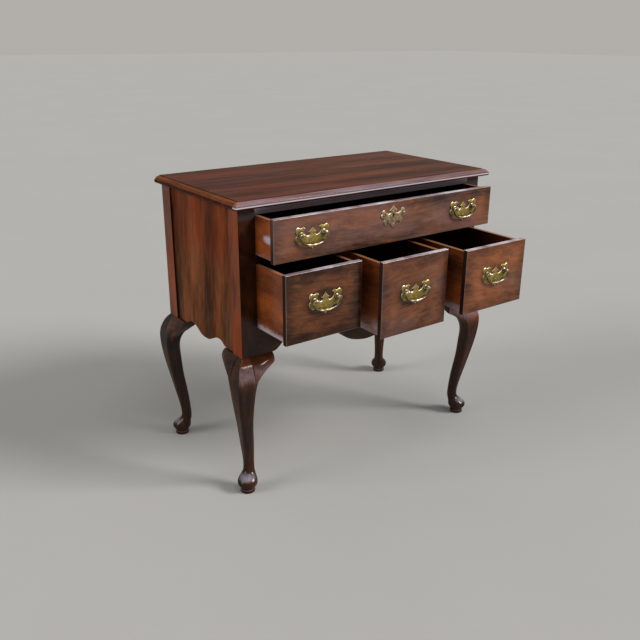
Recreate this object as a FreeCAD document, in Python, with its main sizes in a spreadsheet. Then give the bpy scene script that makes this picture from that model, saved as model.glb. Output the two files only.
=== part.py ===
import FreeCAD, Part
import math
import os
import Sketcher

# A Queen Anne lowboy: a case on four cabriole legs, one wide drawer over three
# small ones, each drawer on its own runners, with batwing pulls and a drawer lock.
# Millimetres. +Z is up, -Y is the front, and the floor is z = 0.
# The origin is the middle of the floor area that the piece takes up while its
# drawers stand drawn out, so the case itself stands case_centre_y behind it.

SIZES = {
    # case
    "height": 762,
    "case_width": 779,
    "case_depth": 394,
    "case_centre_y": 104,
    "post_size": 44.5,
    "shoulder_height": 376,
    "panel_thickness": 16,
    "panel_inset": 5,
    "tenon_length": 12,
    "tenon_thickness": 8,
    "tenon_inset": 4,
    "panel_tenon_low": 20,
    "panel_tenon_high": 10,
    "apron_tenon_low": 16,
    "apron_tenon_high": 8,
    "rail_tenon_inset": 10,
    "rail_tenon_thickness": 24,
    "rail_tenon_shoulder": 5,
    # top
    "top_thickness": 19,
    "top_side_overhang": 17.5,
    "top_front_overhang": 23.5,
    "top_back_overhang": 5.5,
    "mould_width": 14.7,
    "mould_step": 1.5,
    "mould_fillet": 4.5,
    "mould_quirk": 2.2,
    "mould_cove": 5,
    "mould_belly": 4.6,
    "mould_belly_rise": 0.72,
    # front openings, measured down from the underside of the top
    "top_rail_height": 18.5,
    "upper_opening": 94.5,
    "mid_rail_height": 22,
    "lower_opening": 160,
    "middle_drop": 24,
    "middle_opening": 205,
    "divider_width": 33.5,
    "divider_depth": 22,
    "rail_depth": 44.5,
    "apron_thickness": 20,
    "apron_centre_height": 340,
    "apron_arch_height": 406,
    "side_arch_height": 387,
    "side_drop_height": 367,
    # back
    "back_rail_height": 94,
    "back_rail_thickness": 20,
    "back_inset": 4,
    "back_thickness": 8,
    "back_tenon_inset": 6,
    "back_tenon_high": 14,
    # runners
    "runner_width": 48.5,
    "runner_thickness": 18,
    "guide_height": 15,
    "guide_clearance": 0.4,
    "bearer_thickness": 20,
    "ledge_width": 20,
    "kicker_width": 60,
    "screw_radius": 2,
    "screw_length": 32,
    "screw_head": 4,
    "screw_tip": 6,
    "screw_inset": 8,
    # drawers
    "side_clearance": 0.8,
    "floor_clearance": 0.3,
    "head_clearance": 1.5,
    "drawer_depth": 347,
    "drawer_tail": 10,
    "bottom_overrun": 2,
    "lip_overlap": 4.2,
    "lip_thickness": 13,
    "lip_round": 1.8,
    "tongue_thickness": 9,
    "side_thickness": 10,
    "bottom_thickness": 5,
    "bottom_height": 8,
    "groove_depth": 5,
    "back_headroom": 6,
    "top_drawer_out": 72,
    "left_drawer_out": 119,
    "middle_drawer_out": 165,
    "right_drawer_out": 205,
    # pulls
    "pull_spread": 63.5,
    "pull_drop": 10,
    "plate_thickness": 1.8,
    "bail_stand_off": 10,
    "bail_radius": 2.1,
    "bail_swell": 3.1,
    "bail_fit": 0.07,
    "bail_pin_inset": 1.6,
    "bail_shoulder": 5.2,
    "bail_turn": 2.8,
    "bail_drop_radius": 20,
    "bail_drop_angle": 70,
    "bail_swell_reach": 13,
    "bail_swell_sag": 0.5,
    "bolt_radius": 2,
    "bolt_clearance": 0.3,
    "bolt_chamfer": 0.5,
    "bolt_tail": 3,
    "bolt_neck": 2.8,
    "bolt_flange": 6.4,
    "bolt_flange_rim": 0.8,
    "bolt_flange_height": 2.6,
    "bolt_ball": 5.4,
    "eye_start": 2.2,
    "eye_length": 10,
    "nut_size": 9,
    "nut_thickness": 3.5,
    "upper_pull_x": 244,
    "side_pull_x": 240,
    "side_pull_height": 531,
    "middle_pull_height": 519,
    "upper_pull_height": 676,
    # lock
    "escutcheon_height": 695,
    "keyhole_height": 697,
    "keyhole_radius": 3,
    "keyhole_slot": 2.6,
    "keyhole_drop": 7,
    "pin_radius": 0.8,
    "pin_length": 7,
    "pin_head": 1.7,
    "pin_dome": 1,
    "lock_width": 56,
    "lock_height": 38,
    "lock_thickness": 8,
    "lock_wall": 1.6,
    "lock_bolt_width": 22,
    "lock_bolt_height": 22,
    "lock_bolt_play": 0.25,
    "bolt_mortise_gap": 0.5,
    "lock_travel": 8,
    # legs
    "foot_offset": 14.1,
    "foot_pad_radius": 19,
    "foot_pad_height": 9,
    "foot_pad_round": 2,
}

# The cabriole curve, from the shoulder down to the ankle. A section is a square
# with rounded corners, set out from the middle of the post: height, outer face,
# inner face, and the radii of the knee's corner, the two side corners and the back.
LEG_COLUMNS = ("height", "outer", "inner", "knee", "side", "back")
LEG_SECTIONS = [
    (376, 22.25, -22.25, 1.5, 1.5, 1.5),
    (369, 28.6, -22.25, 2.5, 2.0, 2.0),
    (360, 35.0, -22.0, 3.5, 2.5, 3.0),
    (348, 40.8, -20.5, 4.0, 3.0, 6.0),
    (332, 46.0, -14.0, 4.0, 3.5, 12.0),
    (310, 48.8, -4.5, 4.5, 4.5, 21.0),
    (288, 48.2, 0.0, 5.0, 5.5, 25.0),
    (245, 43.8, 2.0, 6.5, 8.0, 16.0),
    (205, 37.4, 1.2, 8.0, 9.0, 11.0),
    (165, 30.4, -2.8, 9.5, 10.0, 10.5),
    (120, 22.4, -7.8, 11.0, 11.0, 11.0),
    (85, 17.0, -10.6, 12.0, 12.0, 12.0),
    (64, 16.0, -11.6, 12.5, 12.5, 12.5),
]
# The pad foot, below the ankle: height, radius, and how far its middle stands out
# from the middle of the post towards each outer face.
FOOT_COLUMNS = ("height", "radius", "out")
FOOT_SECTIONS = [
    (52, 15.4, 3.8),
    (44, 19.4, 8.2),
    (36, 23.5, 12.2),
    (27, 25.3, 14.0),
    (18, 22.0, 14.2),
    (8, 18.0, 14.1),
]
ROUND_FLAT = 0.06

# How far joined boxes of one piece run into each other, and how far cuts run past a face.
LAP = 1
# How far inside its square the middle of a quarter round lies.
QUARTER_ROUND = 1 - math.sqrt(0.5)

# Sections of a knee block: distance from the middle of the post along the rail,
# bulge beyond the post's face, lowest point, then the back face and its lowest point.
KNEE_BLOCK_SECTIONS = [
    (-64, 9, 347.5, -10, 362),
    (-45, 16, 337.5, -10, 352),
    (-22.25, 22.5, 320.5, -10, 341),
    (-8, 25, 304, -4, 333),
    (2, 26, 291, 4, 328),
]
# The face of every section, from the shoulder down, as shares of its bulge and its drop.
KNEE_BLOCK_FACE = [(0, 0), (0.55, 0.18), (1, 0.55), (0.86, 0.84), (0.35, 1)]

# How far behind the front of the case the screws of the top stand.
SCREW_PLACES = (110, 284)

# Batwing plate and escutcheon, right half from the top spire down to the pendant,
# about the plate's own middle. Each bend is an arc through the three points.
PLATE_ARCS = [
    ((0.0, 27.5), (4.4, 19.0), (12.2, 12.6)),
    ((12.2, 12.6), (9.6, 11.4), (8.0, 8.2)),
    ((8.0, 8.2), (11.4, 5.0), (16.2, 6.4)),
    ((16.2, 6.4), (20.6, 8.6), (23.4, 13.6)),
    ((23.4, 13.6), (22.4, 19.6), (18.4, 23.6)),
    ((18.4, 23.6), (22.6, 25.4), (25.8, 29.4)),
    ((25.8, 29.4), (29.4, 25.0), (34.2, 24.6)),
    ((34.2, 24.6), (40.8, 26.8), (45.6, 23.6)),
    ((45.6, 23.6), (47.4, 17.4), (44.2, 11.2)),
    ((44.2, 11.2), (44.0, 7.6), (46.6, 4.6)),
    ((46.6, 4.6), (47.2, -3.6), (42.6, -9.4)),
    ((42.6, -9.4), (36.6, -12.8), (30.2, -10.6)),
    ((30.2, -10.6), (24.4, -10.4), (20.0, -14.4)),
    ((20.0, -14.4), (15.0, -17.4), (9.6, -16.8)),
    ((9.6, -16.8), (7.8, -18.6), (9.0, -20.6)),
    ((9.0, -20.6), (9.4, -23.2), (7.0, -24.4)),
    ((7.0, -24.4), (5.2, -24.2), (3.6, -23.0)),
    ((3.6, -23.0), (2.8, -26.2), (0.0, -28.2)),
]
ESCUTCHEON_ARCS = [
    ((0.0, 25.2), (5.6, 18.6), (12.8, 12.8)),
    ((12.8, 12.8), (10.2, 10.6), (8.8, 7.6)),
    ((8.8, 7.6), (13.0, 4.8), (18.2, 6.0)),
    ((18.2, 6.0), (22.8, 8.2), (25.6, 12.4)),
    ((25.6, 12.4), (30.0, 15.8), (34.4, 13.6)),
    ((34.4, 13.6), (36.8, 9.8), (35.6, 5.6)),
    ((35.6, 5.6), (40.0, 2.2), (39.4, -2.6)),
    ((39.4, -2.6), (35.8, -6.0), (31.2, -5.6)),
    ((31.2, -5.6), (29.2, -7.8), (30.2, -10.4)),
    ((30.2, -10.4), (30.8, -17.2), (25.2, -21.2)),
    ((25.2, -21.2), (20.8, -20.8), (17.4, -17.4)),
    ((17.4, -17.4), (15.0, -20.4), (11.4, -21.2)),
    ((11.4, -21.2), (8.8, -20.6), (6.6, -18.0)),
    ((6.6, -18.0), (7.6, -22.4), (7.0, -26.4)),
    ((7.0, -26.4), (5.2, -27.6), (3.2, -26.8)),
    ((3.2, -26.8), (2.6, -30.0), (0.0, -32.0)),
]
ESCUTCHEON_PINS = [(0.0, 18.5), (-30.5, 9.5), (30.5, 9.5), (0.0, -22.5)]

LEG_TABLES = ((LEG_COLUMNS, LEG_SECTIONS, "leg"), (FOOT_COLUMNS, FOOT_SECTIONS, "foot"))
for columns, table, part in LEG_TABLES:
    for number, station in enumerate(table):
        for column, value in zip(columns, station):
            SIZES[f"{part}_{number}_{column}"] = value

doc = FreeCAD.newDocument("Lowboy")
sheet = doc.addObject("Spreadsheet::Sheet", "Sizes")
for row, (alias, value) in enumerate(SIZES.items(), start=1):
    sheet.set(f"A{row}", alias)
    sheet.set(f"B{row}", str(value))
    sheet.setAlias(f"B{row}", alias)
doc.recompute()


def cell(alias):
    """The number that the spreadsheet holds under an alias."""
    return float(getattr(sheet, alias))


# ---------------------------------------------------------------- named places
HALF_WIDTH = "(Sizes.case_width / 2)"
FRONT = "(Sizes.case_centre_y - Sizes.case_depth / 2)"
POST_INSIDE = f"({HALF_WIDTH} - Sizes.post_size)"
UNDERSIDE = "(Sizes.height - Sizes.top_thickness)"
UPPER_HIGH = f"({UNDERSIDE} - Sizes.top_rail_height)"
UPPER_LOW = f"({UPPER_HIGH} - Sizes.upper_opening)"
LOWER_HIGH = f"({UPPER_LOW} - Sizes.mid_rail_height)"
LOWER_LOW = f"({LOWER_HIGH} - Sizes.lower_opening)"
MIDDLE_LOW = f"({LOWER_LOW} - Sizes.middle_drop)"
DIVIDER_INSIDE = "(Sizes.middle_opening / 2)"
DIVIDER_OUTSIDE = f"({DIVIDER_INSIDE} + Sizes.divider_width)"
BACK_RAIL_HIGH = "(Sizes.shoulder_height + Sizes.back_rail_height)"
BACK_RAIL_FACE = "(Sizes.case_depth - Sizes.back_inset - Sizes.back_rail_thickness)"
BACK_PANEL_FACE = "(Sizes.case_depth - Sizes.back_inset - Sizes.back_thickness)"
POST_BACK = "Sizes.post_size"
REAR_POST_FACE = "(Sizes.case_depth - Sizes.post_size)"
RAIL_LENGTH = (
    f"-{POST_INSIDE} - Sizes.tenon_length", f"{POST_INSIDE} + Sizes.tenon_length",
)
# The lowest and highest points of the tenons.
PANEL_TENON = (
    "Sizes.shoulder_height + Sizes.panel_tenon_low", f"{UNDERSIDE} - Sizes.panel_tenon_high",
)
APRON_TENON = (
    "Sizes.shoulder_height + Sizes.apron_tenon_low", f"{LOWER_LOW} - Sizes.apron_tenon_high",
)
BACK_TENON = (
    "Sizes.shoulder_height + Sizes.apron_tenon_low",
    f"{BACK_RAIL_HIGH} - Sizes.back_tenon_high",
)
TOP_RAIL_TENON = (f"{UPPER_HIGH} + Sizes.rail_tenon_shoulder", UNDERSIDE)
MID_RAIL_TENON = (
    f"{LOWER_HIGH} + Sizes.rail_tenon_shoulder", f"{UPPER_LOW} - Sizes.rail_tenon_shoulder",
)
# Where the lock's case starts, behind the back of the drawer front's lip.
LOCK_FACE = "(Sizes.tongue_thickness - Sizes.lock_thickness)"

kept = {}


def keep(label, obj):
    """Names a finished piece; its label is also the name of its file."""
    obj.Label = label
    kept[label] = obj
    return obj


def bind(obj, **expressions):
    for name, text in expressions.items():
        obj.setExpression(name.replace("_of_", "."), text)


def place(obj, x="0", y="0", z="0"):
    """Binds where an object stands."""
    obj.setExpression("Placement.Base.x", x)
    obj.setExpression("Placement.Base.y", y)
    obj.setExpression("Placement.Base.z", z)


def new_body(name, x="0", y=FRONT, z="0"):
    """An empty body whose own y runs back from the front of the case."""
    body = doc.addObject("PartDesign::Body", name)
    place(body, x, y, z)
    return body


def plane(body, role):
    for feature in body.Origin.OriginFeatures:
        if feature.Role == role:
            return feature
    raise ValueError(f"{body.Name} has no {role}")


def box(body, name, x, y, z, cut=False):
    """Adds to or cuts from a body a box that runs between pairs of expressions."""
    kind = "PartDesign::SubtractiveBox" if cut else "PartDesign::AdditiveBox"
    feature = body.newObject(kind, name)
    bind(
        feature,
        Length=f"({x[1]}) - ({x[0]})",
        Width=f"({y[1]}) - ({y[0]})",
        Height=f"({z[1]}) - ({z[0]})",
    )
    place(feature, x[0], y[0], z[0])
    return feature


def bore(body, name, radius, x, y, z, cut=True):
    """A round hole, or a round pin, along y between a pair of expressions."""
    kind = "PartDesign::SubtractiveCylinder" if cut else "PartDesign::AdditiveCylinder"
    feature = body.newObject(kind, name)
    feature.Placement = FreeCAD.Placement(
        FreeCAD.Vector(0, 0, 0), FreeCAD.Rotation(FreeCAD.Vector(1, 0, 0), -90)
    )
    bind(feature, Radius=radius, Height=f"({y[1]}) - ({y[0]})")
    place(feature, x, y[0], z)
    return feature


def sketch_on(body, name, role, offset=None):
    sketch = body.newObject("Sketcher::SketchObject", name)
    sketch.AttachmentSupport = [(plane(body, role), "")]
    sketch.MapMode = "FlatFace"
    if offset is not None:
        sketch.setExpression("AttachmentOffset.Base.z", offset)
    return sketch


def meeting_ends(sketch, one, other):
    """Which end of one curve meets which end of another: 1 is a start, 2 an end."""
    pairs = [(a, b) for a in (2, 1) for b in (1, 2)]
    return min(pairs, key=lambda pair: sketch.getPoint(one, pair[0]).distanceToPoint(
        sketch.getPoint(other, pair[1])))


def draw(sketch, curves, closed=True):
    """Adds curves end to end and ties each to the next."""
    sketch.addGeometry(curves, False)
    for one in range(len(curves) if closed else len(curves) - 1):
        other = (one + 1) % len(curves)
        one_end, other_end = meeting_ends(sketch, one, other)
        sketch.addConstraint(
            Sketcher.Constraint("Coincident", one, one_end, other, other_end)
        )


def vector(u, v):
    return FreeCAD.Vector(u, v, 0)


def line(start, end):
    return Part.LineSegment(vector(*start), vector(*end))


def arc(start, middle, end):
    return Part.Arc(vector(*start), vector(*middle), vector(*end))


def smooth(points):
    """One smooth curve through a few points."""
    curve = Part.BSplineCurve()
    curve.interpolate([vector(*point) for point in points])
    return curve


def pad(body, name, sketch, length, reversed_pad=False, both=False):
    feature = body.newObject("PartDesign::Pad", name)
    feature.Profile = sketch
    feature.setExpression("Length", length)
    feature.Reversed = reversed_pad
    feature.Midplane = both
    return feature


def edges_where(shape, test):
    return [f"Edge{n}" for n, edge in enumerate(shape.Edges, start=1) if test(edge)]


def round_edges(body, name, base, test, radius):
    """Rounds the edges of a feature that pass a test."""
    doc.recompute()
    feature = body.newObject("PartDesign::Fillet", name)
    feature.Base = (base, edges_where(base.Shape, test))
    feature.setExpression("Radius", radius)
    return feature


def plain_board(label, x, y, z):
    """A board with square edges, its y given from the front of the case."""
    body = new_body(label)
    box(body, label + "_board", x, y, z)
    return keep(label, body)


def group(label, pieces):
    """Several like pieces kept under one name, each a solid of its own."""
    compound = doc.addObject("Part::Compound", label)
    compound.Links = pieces
    return keep(label, compound)


def cut(name, base, tool):
    result = doc.addObject("Part::Cut", name)
    result.Base = base
    result.Tool = tool
    return result


def mirrored(name, source, normal, base=(0, 0, 0)):
    copy = doc.addObject("Part::Mirroring", name)
    copy.Source = source
    copy.Normal = FreeCAD.Vector(*normal)
    copy.Base = FreeCAD.Vector(*base)
    return copy


# ------------------------------------------------------------------------- top
def make_top():
    """The moulded top: the shape common to a front profile and a side profile."""
    high, thick = cell("height"), cell("top_thickness")
    width, step = cell("mould_width"), cell("mould_step")
    fillet, quirk, cove = cell("mould_fillet"), cell("mould_quirk"), cell("mould_cove")
    low = high - thick
    half_span = cell("case_width") / 2 + cell("top_side_overhang")

    def edge(at, way):
        """The moulded edge, from the underside up to the flat of the top."""
        lip_low, lip_high = low + cove, low + cove + fillet
        inner = at - way * width
        ovolo_end = high - step
        belly = (
            at - way * (quirk + cell("mould_belly")),
            lip_high + cell("mould_belly_rise") * (ovolo_end - lip_high),
        )
        hollow = QUARTER_ROUND * cove
        return [
            arc((at - way * cove, low), (at - way * hollow, low + hollow), (at, lip_low)),
            line((at, lip_low), (at, lip_high)),
            line((at, lip_high), (at - way * quirk, lip_high)),
            arc((at - way * quirk, lip_high), belly, (inner, ovolo_end)),
            line((inner, ovolo_end), (inner, high)),
        ]

    front = new_body("top_front_profile", y="Sizes.case_centre_y")
    front_y = -cell("case_depth") / 2 - cell("top_front_overhang")
    back_y = cell("case_depth") / 2 + cell("top_back_overhang")
    sketch = sketch_on(front, "top_front_sketch", "YZ_Plane")
    profile = edge(front_y, -1)
    profile.append(line((front_y + width, high), (back_y, high)))
    profile.append(line((back_y, high), (back_y, low)))
    profile.append(line((back_y, low), (front_y + cove, low)))
    draw(sketch, profile)
    pad(front, "top_front_pad", sketch, f"2 * {HALF_WIDTH} + 2 * Sizes.top_side_overhang", both=True)

    side = new_body("top_side_profile", y="Sizes.case_centre_y")
    sketch = sketch_on(side, "top_side_sketch", "XZ_Plane")
    right = edge(half_span, 1)
    left = edge(-half_span, -1)[::-1]
    across_top = [line((half_span - width, high), (-half_span + width, high))]
    across_low = [line((-half_span + cove, low), (half_span - cove, low))]
    draw(sketch, right + across_top + left + across_low)
    pad(side, "top_side_pad", sketch, "2 * Sizes.case_depth", both=True)

    blank = doc.addObject("Part::Common", "top_blank")
    blank.Base = front
    blank.Tool = side
    return blank


# ------------------------------------------------------------------------ legs
def rounded_square(sketch, outer, inner, knee, side, back):
    """A square from inner to outer on both axes, each corner with its own radius.

    Every argument is a pair: the value to draw with and the expression that drives it.
    """
    high, low = outer[0], inner[0]
    corners = [
        (high - knee[0], high - knee[0], knee),
        (low + side[0], high - side[0], side),
        (low + back[0], low + back[0], back),
        (high - side[0], low + side[0], side),
    ]
    arcs = []
    for number, (x, y, radius) in enumerate(corners):
        circle = Part.Circle(vector(x, y), FreeCAD.Vector(0, 0, 1), radius[0])
        turn = number * math.pi / 2
        arcs.append(Part.ArcOfCircle(circle, turn, turn + math.pi / 2))
    curves = []
    for number, corner in enumerate(arcs):
        curves.append(corner)
        curves.append(Part.LineSegment(corner.EndPoint, arcs[(number + 1) % 4].StartPoint))
    sketch.addGeometry(curves, False)
    for number in range(8):
        sketch.addConstraint(Sketcher.Constraint("Tangent", number, 2, (number + 1) % 8, 1))
    for number, kind in ((1, "Horizontal"), (3, "Vertical"), (5, "Horizontal"), (7, "Vertical")):
        sketch.addConstraint(Sketcher.Constraint(kind, number))
    sides = (
        (1, "DistanceY", outer), (3, "DistanceX", inner),
        (5, "DistanceY", inner), (7, "DistanceX", outer),
    )
    for number, kind, (value, text) in sides:
        added = sketch.addConstraint(Sketcher.Constraint(kind, -1, 1, number, 1, value))
        sketch.setExpression(f"Constraints[{added}]", text)
    for number, (_, _, (value, text)) in enumerate(corners):
        added = sketch.addConstraint(Sketcher.Constraint("Radius", 2 * number, value))
        sketch.setExpression(f"Constraints[{added}]", text)


def leg_section(body, number):
    """One of the sections of the cabriole curve, bound to its row of the sheet."""
    values = {column: (cell(f"leg_{number}_{column}"), f"Sizes.leg_{number}_{column}")
              for column in LEG_COLUMNS}
    sketch = sketch_on(body, f"{body.Name}_section_{number}", "XY_Plane", values.pop("height")[1])
    rounded_square(sketch, **values)
    return sketch


def foot_section(body, number):
    """One of the nearly round sections of the foot, bound to its row of the sheet."""
    radius, out = cell(f"foot_{number}_radius"), cell(f"foot_{number}_out")
    radius_text, out_text = f"Sizes.foot_{number}_radius", f"Sizes.foot_{number}_out"
    sketch = sketch_on(body, f"{body.Name}_foot_{number}", "XY_Plane", f"Sizes.foot_{number}_height")
    corner = (radius * (1 - ROUND_FLAT), f"{radius_text} * {1 - ROUND_FLAT}")
    rounded_square(
        sketch,
        outer=(out + radius, f"{out_text} + {radius_text}"),
        inner=(out - radius, f"{out_text} - {radius_text}"),
        knee=corner, side=corner, back=corner,
    )
    return sketch


def make_leg(label, turn, side_x, side_y, across, rails):
    """A post and cabriole leg in one piece. Its own +x and +y look outwards."""
    body = new_body(
        label,
        x=f"{side_x} * ({HALF_WIDTH} - Sizes.post_size / 2)",
        y=f"Sizes.case_centre_y + {side_y} * (Sizes.case_depth / 2 - Sizes.post_size / 2)",
    )
    body.Placement = FreeCAD.Placement(
        FreeCAD.Vector(0, 0, 0), FreeCAD.Rotation(FreeCAD.Vector(0, 0, 1), turn)
    )
    sections = [leg_section(body, number) for number in range(len(LEG_SECTIONS))]
    sections += [foot_section(body, number) for number in range(len(FOOT_SECTIONS))]
    leg = body.newObject("PartDesign::AdditiveLoft", label + "_cabriole")
    leg.Profile = sections[0]
    leg.Sections = sections[1:]
    leg.Ruled = False
    leg.Closed = False

    half = "Sizes.post_size / 2"
    box(
        body, label + "_post",
        (f"-{half}", half), (f"-{half}", half), ("Sizes.shoulder_height", UNDERSIDE),
    )
    foot = body.newObject("PartDesign::AdditiveCylinder", label + "_pad")
    bind(foot, Radius="Sizes.foot_pad_radius", Height="Sizes.foot_pad_height")
    place(foot, "Sizes.foot_offset", "Sizes.foot_offset", "0")

    def lower_rim(edge):
        return edge.BoundBox.ZMax < 0.001

    round_edges(body, label + "_pad_round", foot, lower_rim, "Sizes.foot_pad_round")

    def mortise(name, toward, inset, thickness, low, high):
        depth = (f"-{half}", f"-{half} + Sizes.tenon_length")
        width = (f"{half} - ({inset}) - {thickness}", f"{half} - ({inset})")
        x, y = (depth, width) if toward == "x" else (width, depth)
        box(body, f"{label}_{name}", x, y, (low, high), cut=True)

    lengthwise = "y" if across == "x" else "x"
    mortise(
        "side_mortise", lengthwise, "Sizes.panel_inset + Sizes.tenon_inset",
        "Sizes.tenon_thickness", *PANEL_TENON,
    )
    for name, inset, thickness, low, high in rails:
        mortise(name, across, inset, thickness, low, high)
    return keep(label, body)


# Each mortise: its distance in from the post's face, its thickness, its two heights.
FRONT_MORTISES = [
    ("top_rail_mortise", "Sizes.rail_tenon_inset", "Sizes.rail_tenon_thickness",
     *TOP_RAIL_TENON),
    ("mid_rail_mortise", "Sizes.rail_tenon_inset", "Sizes.rail_tenon_thickness",
     *MID_RAIL_TENON),
    ("apron_mortise", "Sizes.tenon_inset", "Sizes.tenon_thickness", *APRON_TENON),
]
BACK_MORTISES = [
    ("back_rail_mortise", "Sizes.back_inset + Sizes.back_tenon_inset",
     "Sizes.tenon_thickness", *BACK_TENON),
    ("back_panel_groove", "Sizes.back_inset", "Sizes.back_thickness",
     BACK_RAIL_HIGH, UNDERSIDE),
]


def make_legs():
    make_leg("front_left_leg", 180, -1, -1, "x", FRONT_MORTISES)
    make_leg("front_right_leg", 270, 1, -1, "y", FRONT_MORTISES)
    make_leg("rear_right_leg", 0, 1, 1, "x", BACK_MORTISES)
    make_leg("rear_left_leg", 90, -1, 1, "y", BACK_MORTISES)


def make_knee_blocks():
    """The shaped blocks that carry each knee along the front and the sides."""
    front_left = kept["front_left_leg"]
    body = doc.addObject("PartDesign::Body", "knee_block")
    for axis in "xyz":
        body.setExpression(
            f"Placement.Base.{axis}", f"front_left_leg.Placement.Base.{axis}"
        )
    body.Placement = FreeCAD.Placement(
        FreeCAD.Vector(0, 0, 0), FreeCAD.Rotation(FreeCAD.Vector(0, 0, 1), 180)
    )
    shoulder = cell("shoulder_height")
    face = cell("post_size") / 2
    sketches = []
    for number, (along, bulge, low, back, back_low) in enumerate(KNEE_BLOCK_SECTIONS):
        sketch = sketch_on(body, f"knee_block_section_{number}", "YZ_Plane", str(along))
        outline = [
            (face + out * bulge, shoulder - down * (shoulder - low))
            for out, down in KNEE_BLOCK_FACE
        ]
        draw(sketch, [
            smooth(outline),
            line(outline[-1], (back, back_low)),
            line((back, back_low), (back, shoulder)),
            line((back, shoulder), (face, shoulder)),
        ])
        sketches.append(sketch)
    loft = body.newObject("PartDesign::AdditiveLoft", "knee_block_loft")
    loft.Profile = sketches[0]
    loft.Sections = sketches[1:]
    block = cut("front_left_block", body, front_left)
    doc.recompute()

    centre_y = cell("case_centre_y")
    post_x = front_left.Placement.Base.x
    post_y = front_left.Placement.Base.y
    front_right = mirrored("front_right_block", block, (1, 0, 0))
    side_left = mirrored("side_front_left_block", block, (1, -1, 0), (post_x, post_y, 0))
    side_right = mirrored("side_front_right_block", side_left, (1, 0, 0))
    rear_left = mirrored("side_rear_left_block", side_left, (0, 1, 0), (0, centre_y, 0))
    rear_right = mirrored("side_rear_right_block", side_right, (0, 1, 0), (0, centre_y, 0))
    group("front_knee_blocks", [block, front_right])
    group("side_knee_blocks", [side_left, side_right, rear_left, rear_right])


# ------------------------------------------------------------------------ case
def make_side_panel(label, side):
    """A side of the case, set in from the posts' faces, with a shaped lower edge."""
    body = new_body(label, x=f"{side} * ({HALF_WIDTH} - Sizes.panel_inset)",
                    y="Sizes.case_centre_y")
    reach = cell("case_depth") / 2 - cell("post_size")
    shoulder, arch, drop = (
        cell("shoulder_height"), cell("side_arch_height"), cell("side_drop_height"),
    )
    high = cell("height") - cell("top_thickness")
    sketch = sketch_on(body, label + "_sketch", "YZ_Plane")
    flat_end, arch_out, arch_in, drop_end = 112, 84, 60, 24
    half = [(flat_end, shoulder), (96, shoulder + 4.5), (arch_out, arch), (72, arch + 0.6),
            (arch_in, arch - 0.6), (40, shoulder + 2.5), (drop_end, drop + 3), (0, drop)]
    edge = smooth([(-y, z) for y, z in half] + half[-2::-1])
    draw(sketch, [
        line((reach, high), (-reach, high)),
        line((-reach, high), (-reach, shoulder)),
        line((-reach, shoulder), (-flat_end, shoulder)),
        edge,
        line((flat_end, shoulder), (reach, shoulder)),
        line((reach, shoulder), (reach, high)),
    ])
    pad(body, label + "_pad", sketch, "Sizes.panel_thickness", reversed_pad=side > 0)
    inset = "Sizes.tenon_inset"
    deep = f"({inset} + Sizes.tenon_thickness)"
    across = (f"-{deep}", f"-{inset}") if side > 0 else (inset, deep)
    for name, low, high_y in (
        ("front_tenon", f"-{reach} - Sizes.tenon_length", f"-{reach}"),
        ("back_tenon", f"{reach}", f"{reach} + Sizes.tenon_length"),
    ):
        box(body, f"{label}_{name}", across, (low, high_y), PANEL_TENON)
    return keep(label, body)


def make_apron():
    """The shaped rail under the lower drawers, with its tenons."""
    body = new_body("front_apron")
    inside = cell("case_width") / 2 - cell("post_size")
    shoulder = cell("shoulder_height")
    centre, arch = cell("apron_centre_height"), cell("apron_arch_height")
    high = (cell("height") - cell("top_thickness") - cell("top_rail_height")
            - cell("upper_opening") - cell("mid_rail_height") - cell("lower_opening"))
    step_low = high - cell("middle_drop")
    notch = cell("middle_opening") / 2
    sketch = sketch_on(body, "apron_sketch", "XZ_Plane")
    flat_end = 301
    half = [(flat_end, shoulder), (289, shoulder + 4), (277, shoulder + 14), (262, arch - 5),
            (235, arch), (185, arch + 1), (145, arch - 4), (112, shoulder + 12),
            (89, shoulder - 4.5), (70, 357.5), (34, centre + 4.2), (0, centre)]
    edge = smooth(half + [(-x, z) for x, z in reversed(half[:-1])])
    draw(sketch, [
        line((inside, shoulder), (flat_end, shoulder)),
        edge,
        line((-flat_end, shoulder), (-inside, shoulder)),
        line((-inside, shoulder), (-inside, high)),
        line((-inside, high), (-notch, high)),
        line((-notch, high), (-notch, step_low)),
        line((-notch, step_low), (notch, step_low)),
        line((notch, step_low), (notch, high)),
        line((notch, high), (inside, high)),
        line((inside, high), (inside, shoulder)),
    ])
    pad(body, "apron_pad", sketch, "Sizes.apron_thickness", reversed_pad=True)
    depth = ("Sizes.tenon_inset", "Sizes.tenon_inset + Sizes.tenon_thickness")
    box(body, "apron_left_tenon", (RAIL_LENGTH[0], f"-{POST_INSIDE}"), depth, APRON_TENON)
    box(body, "apron_right_tenon", (POST_INSIDE, RAIL_LENGTH[1]), depth, APRON_TENON)
    keep("front_apron", body)


def make_rail(label, low, high, tenon):
    """A rail laid between the front posts, with a tenon at each end."""
    body = new_body(label)
    box(body, label + "_board", (f"-{POST_INSIDE}", POST_INSIDE), ("0", "Sizes.rail_depth"),
        (low, high))
    depth = ("Sizes.rail_tenon_inset", "Sizes.rail_tenon_inset + Sizes.rail_tenon_thickness")
    box(body, label + "_tenons", RAIL_LENGTH, depth, tenon)
    return keep(label, body)


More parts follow.
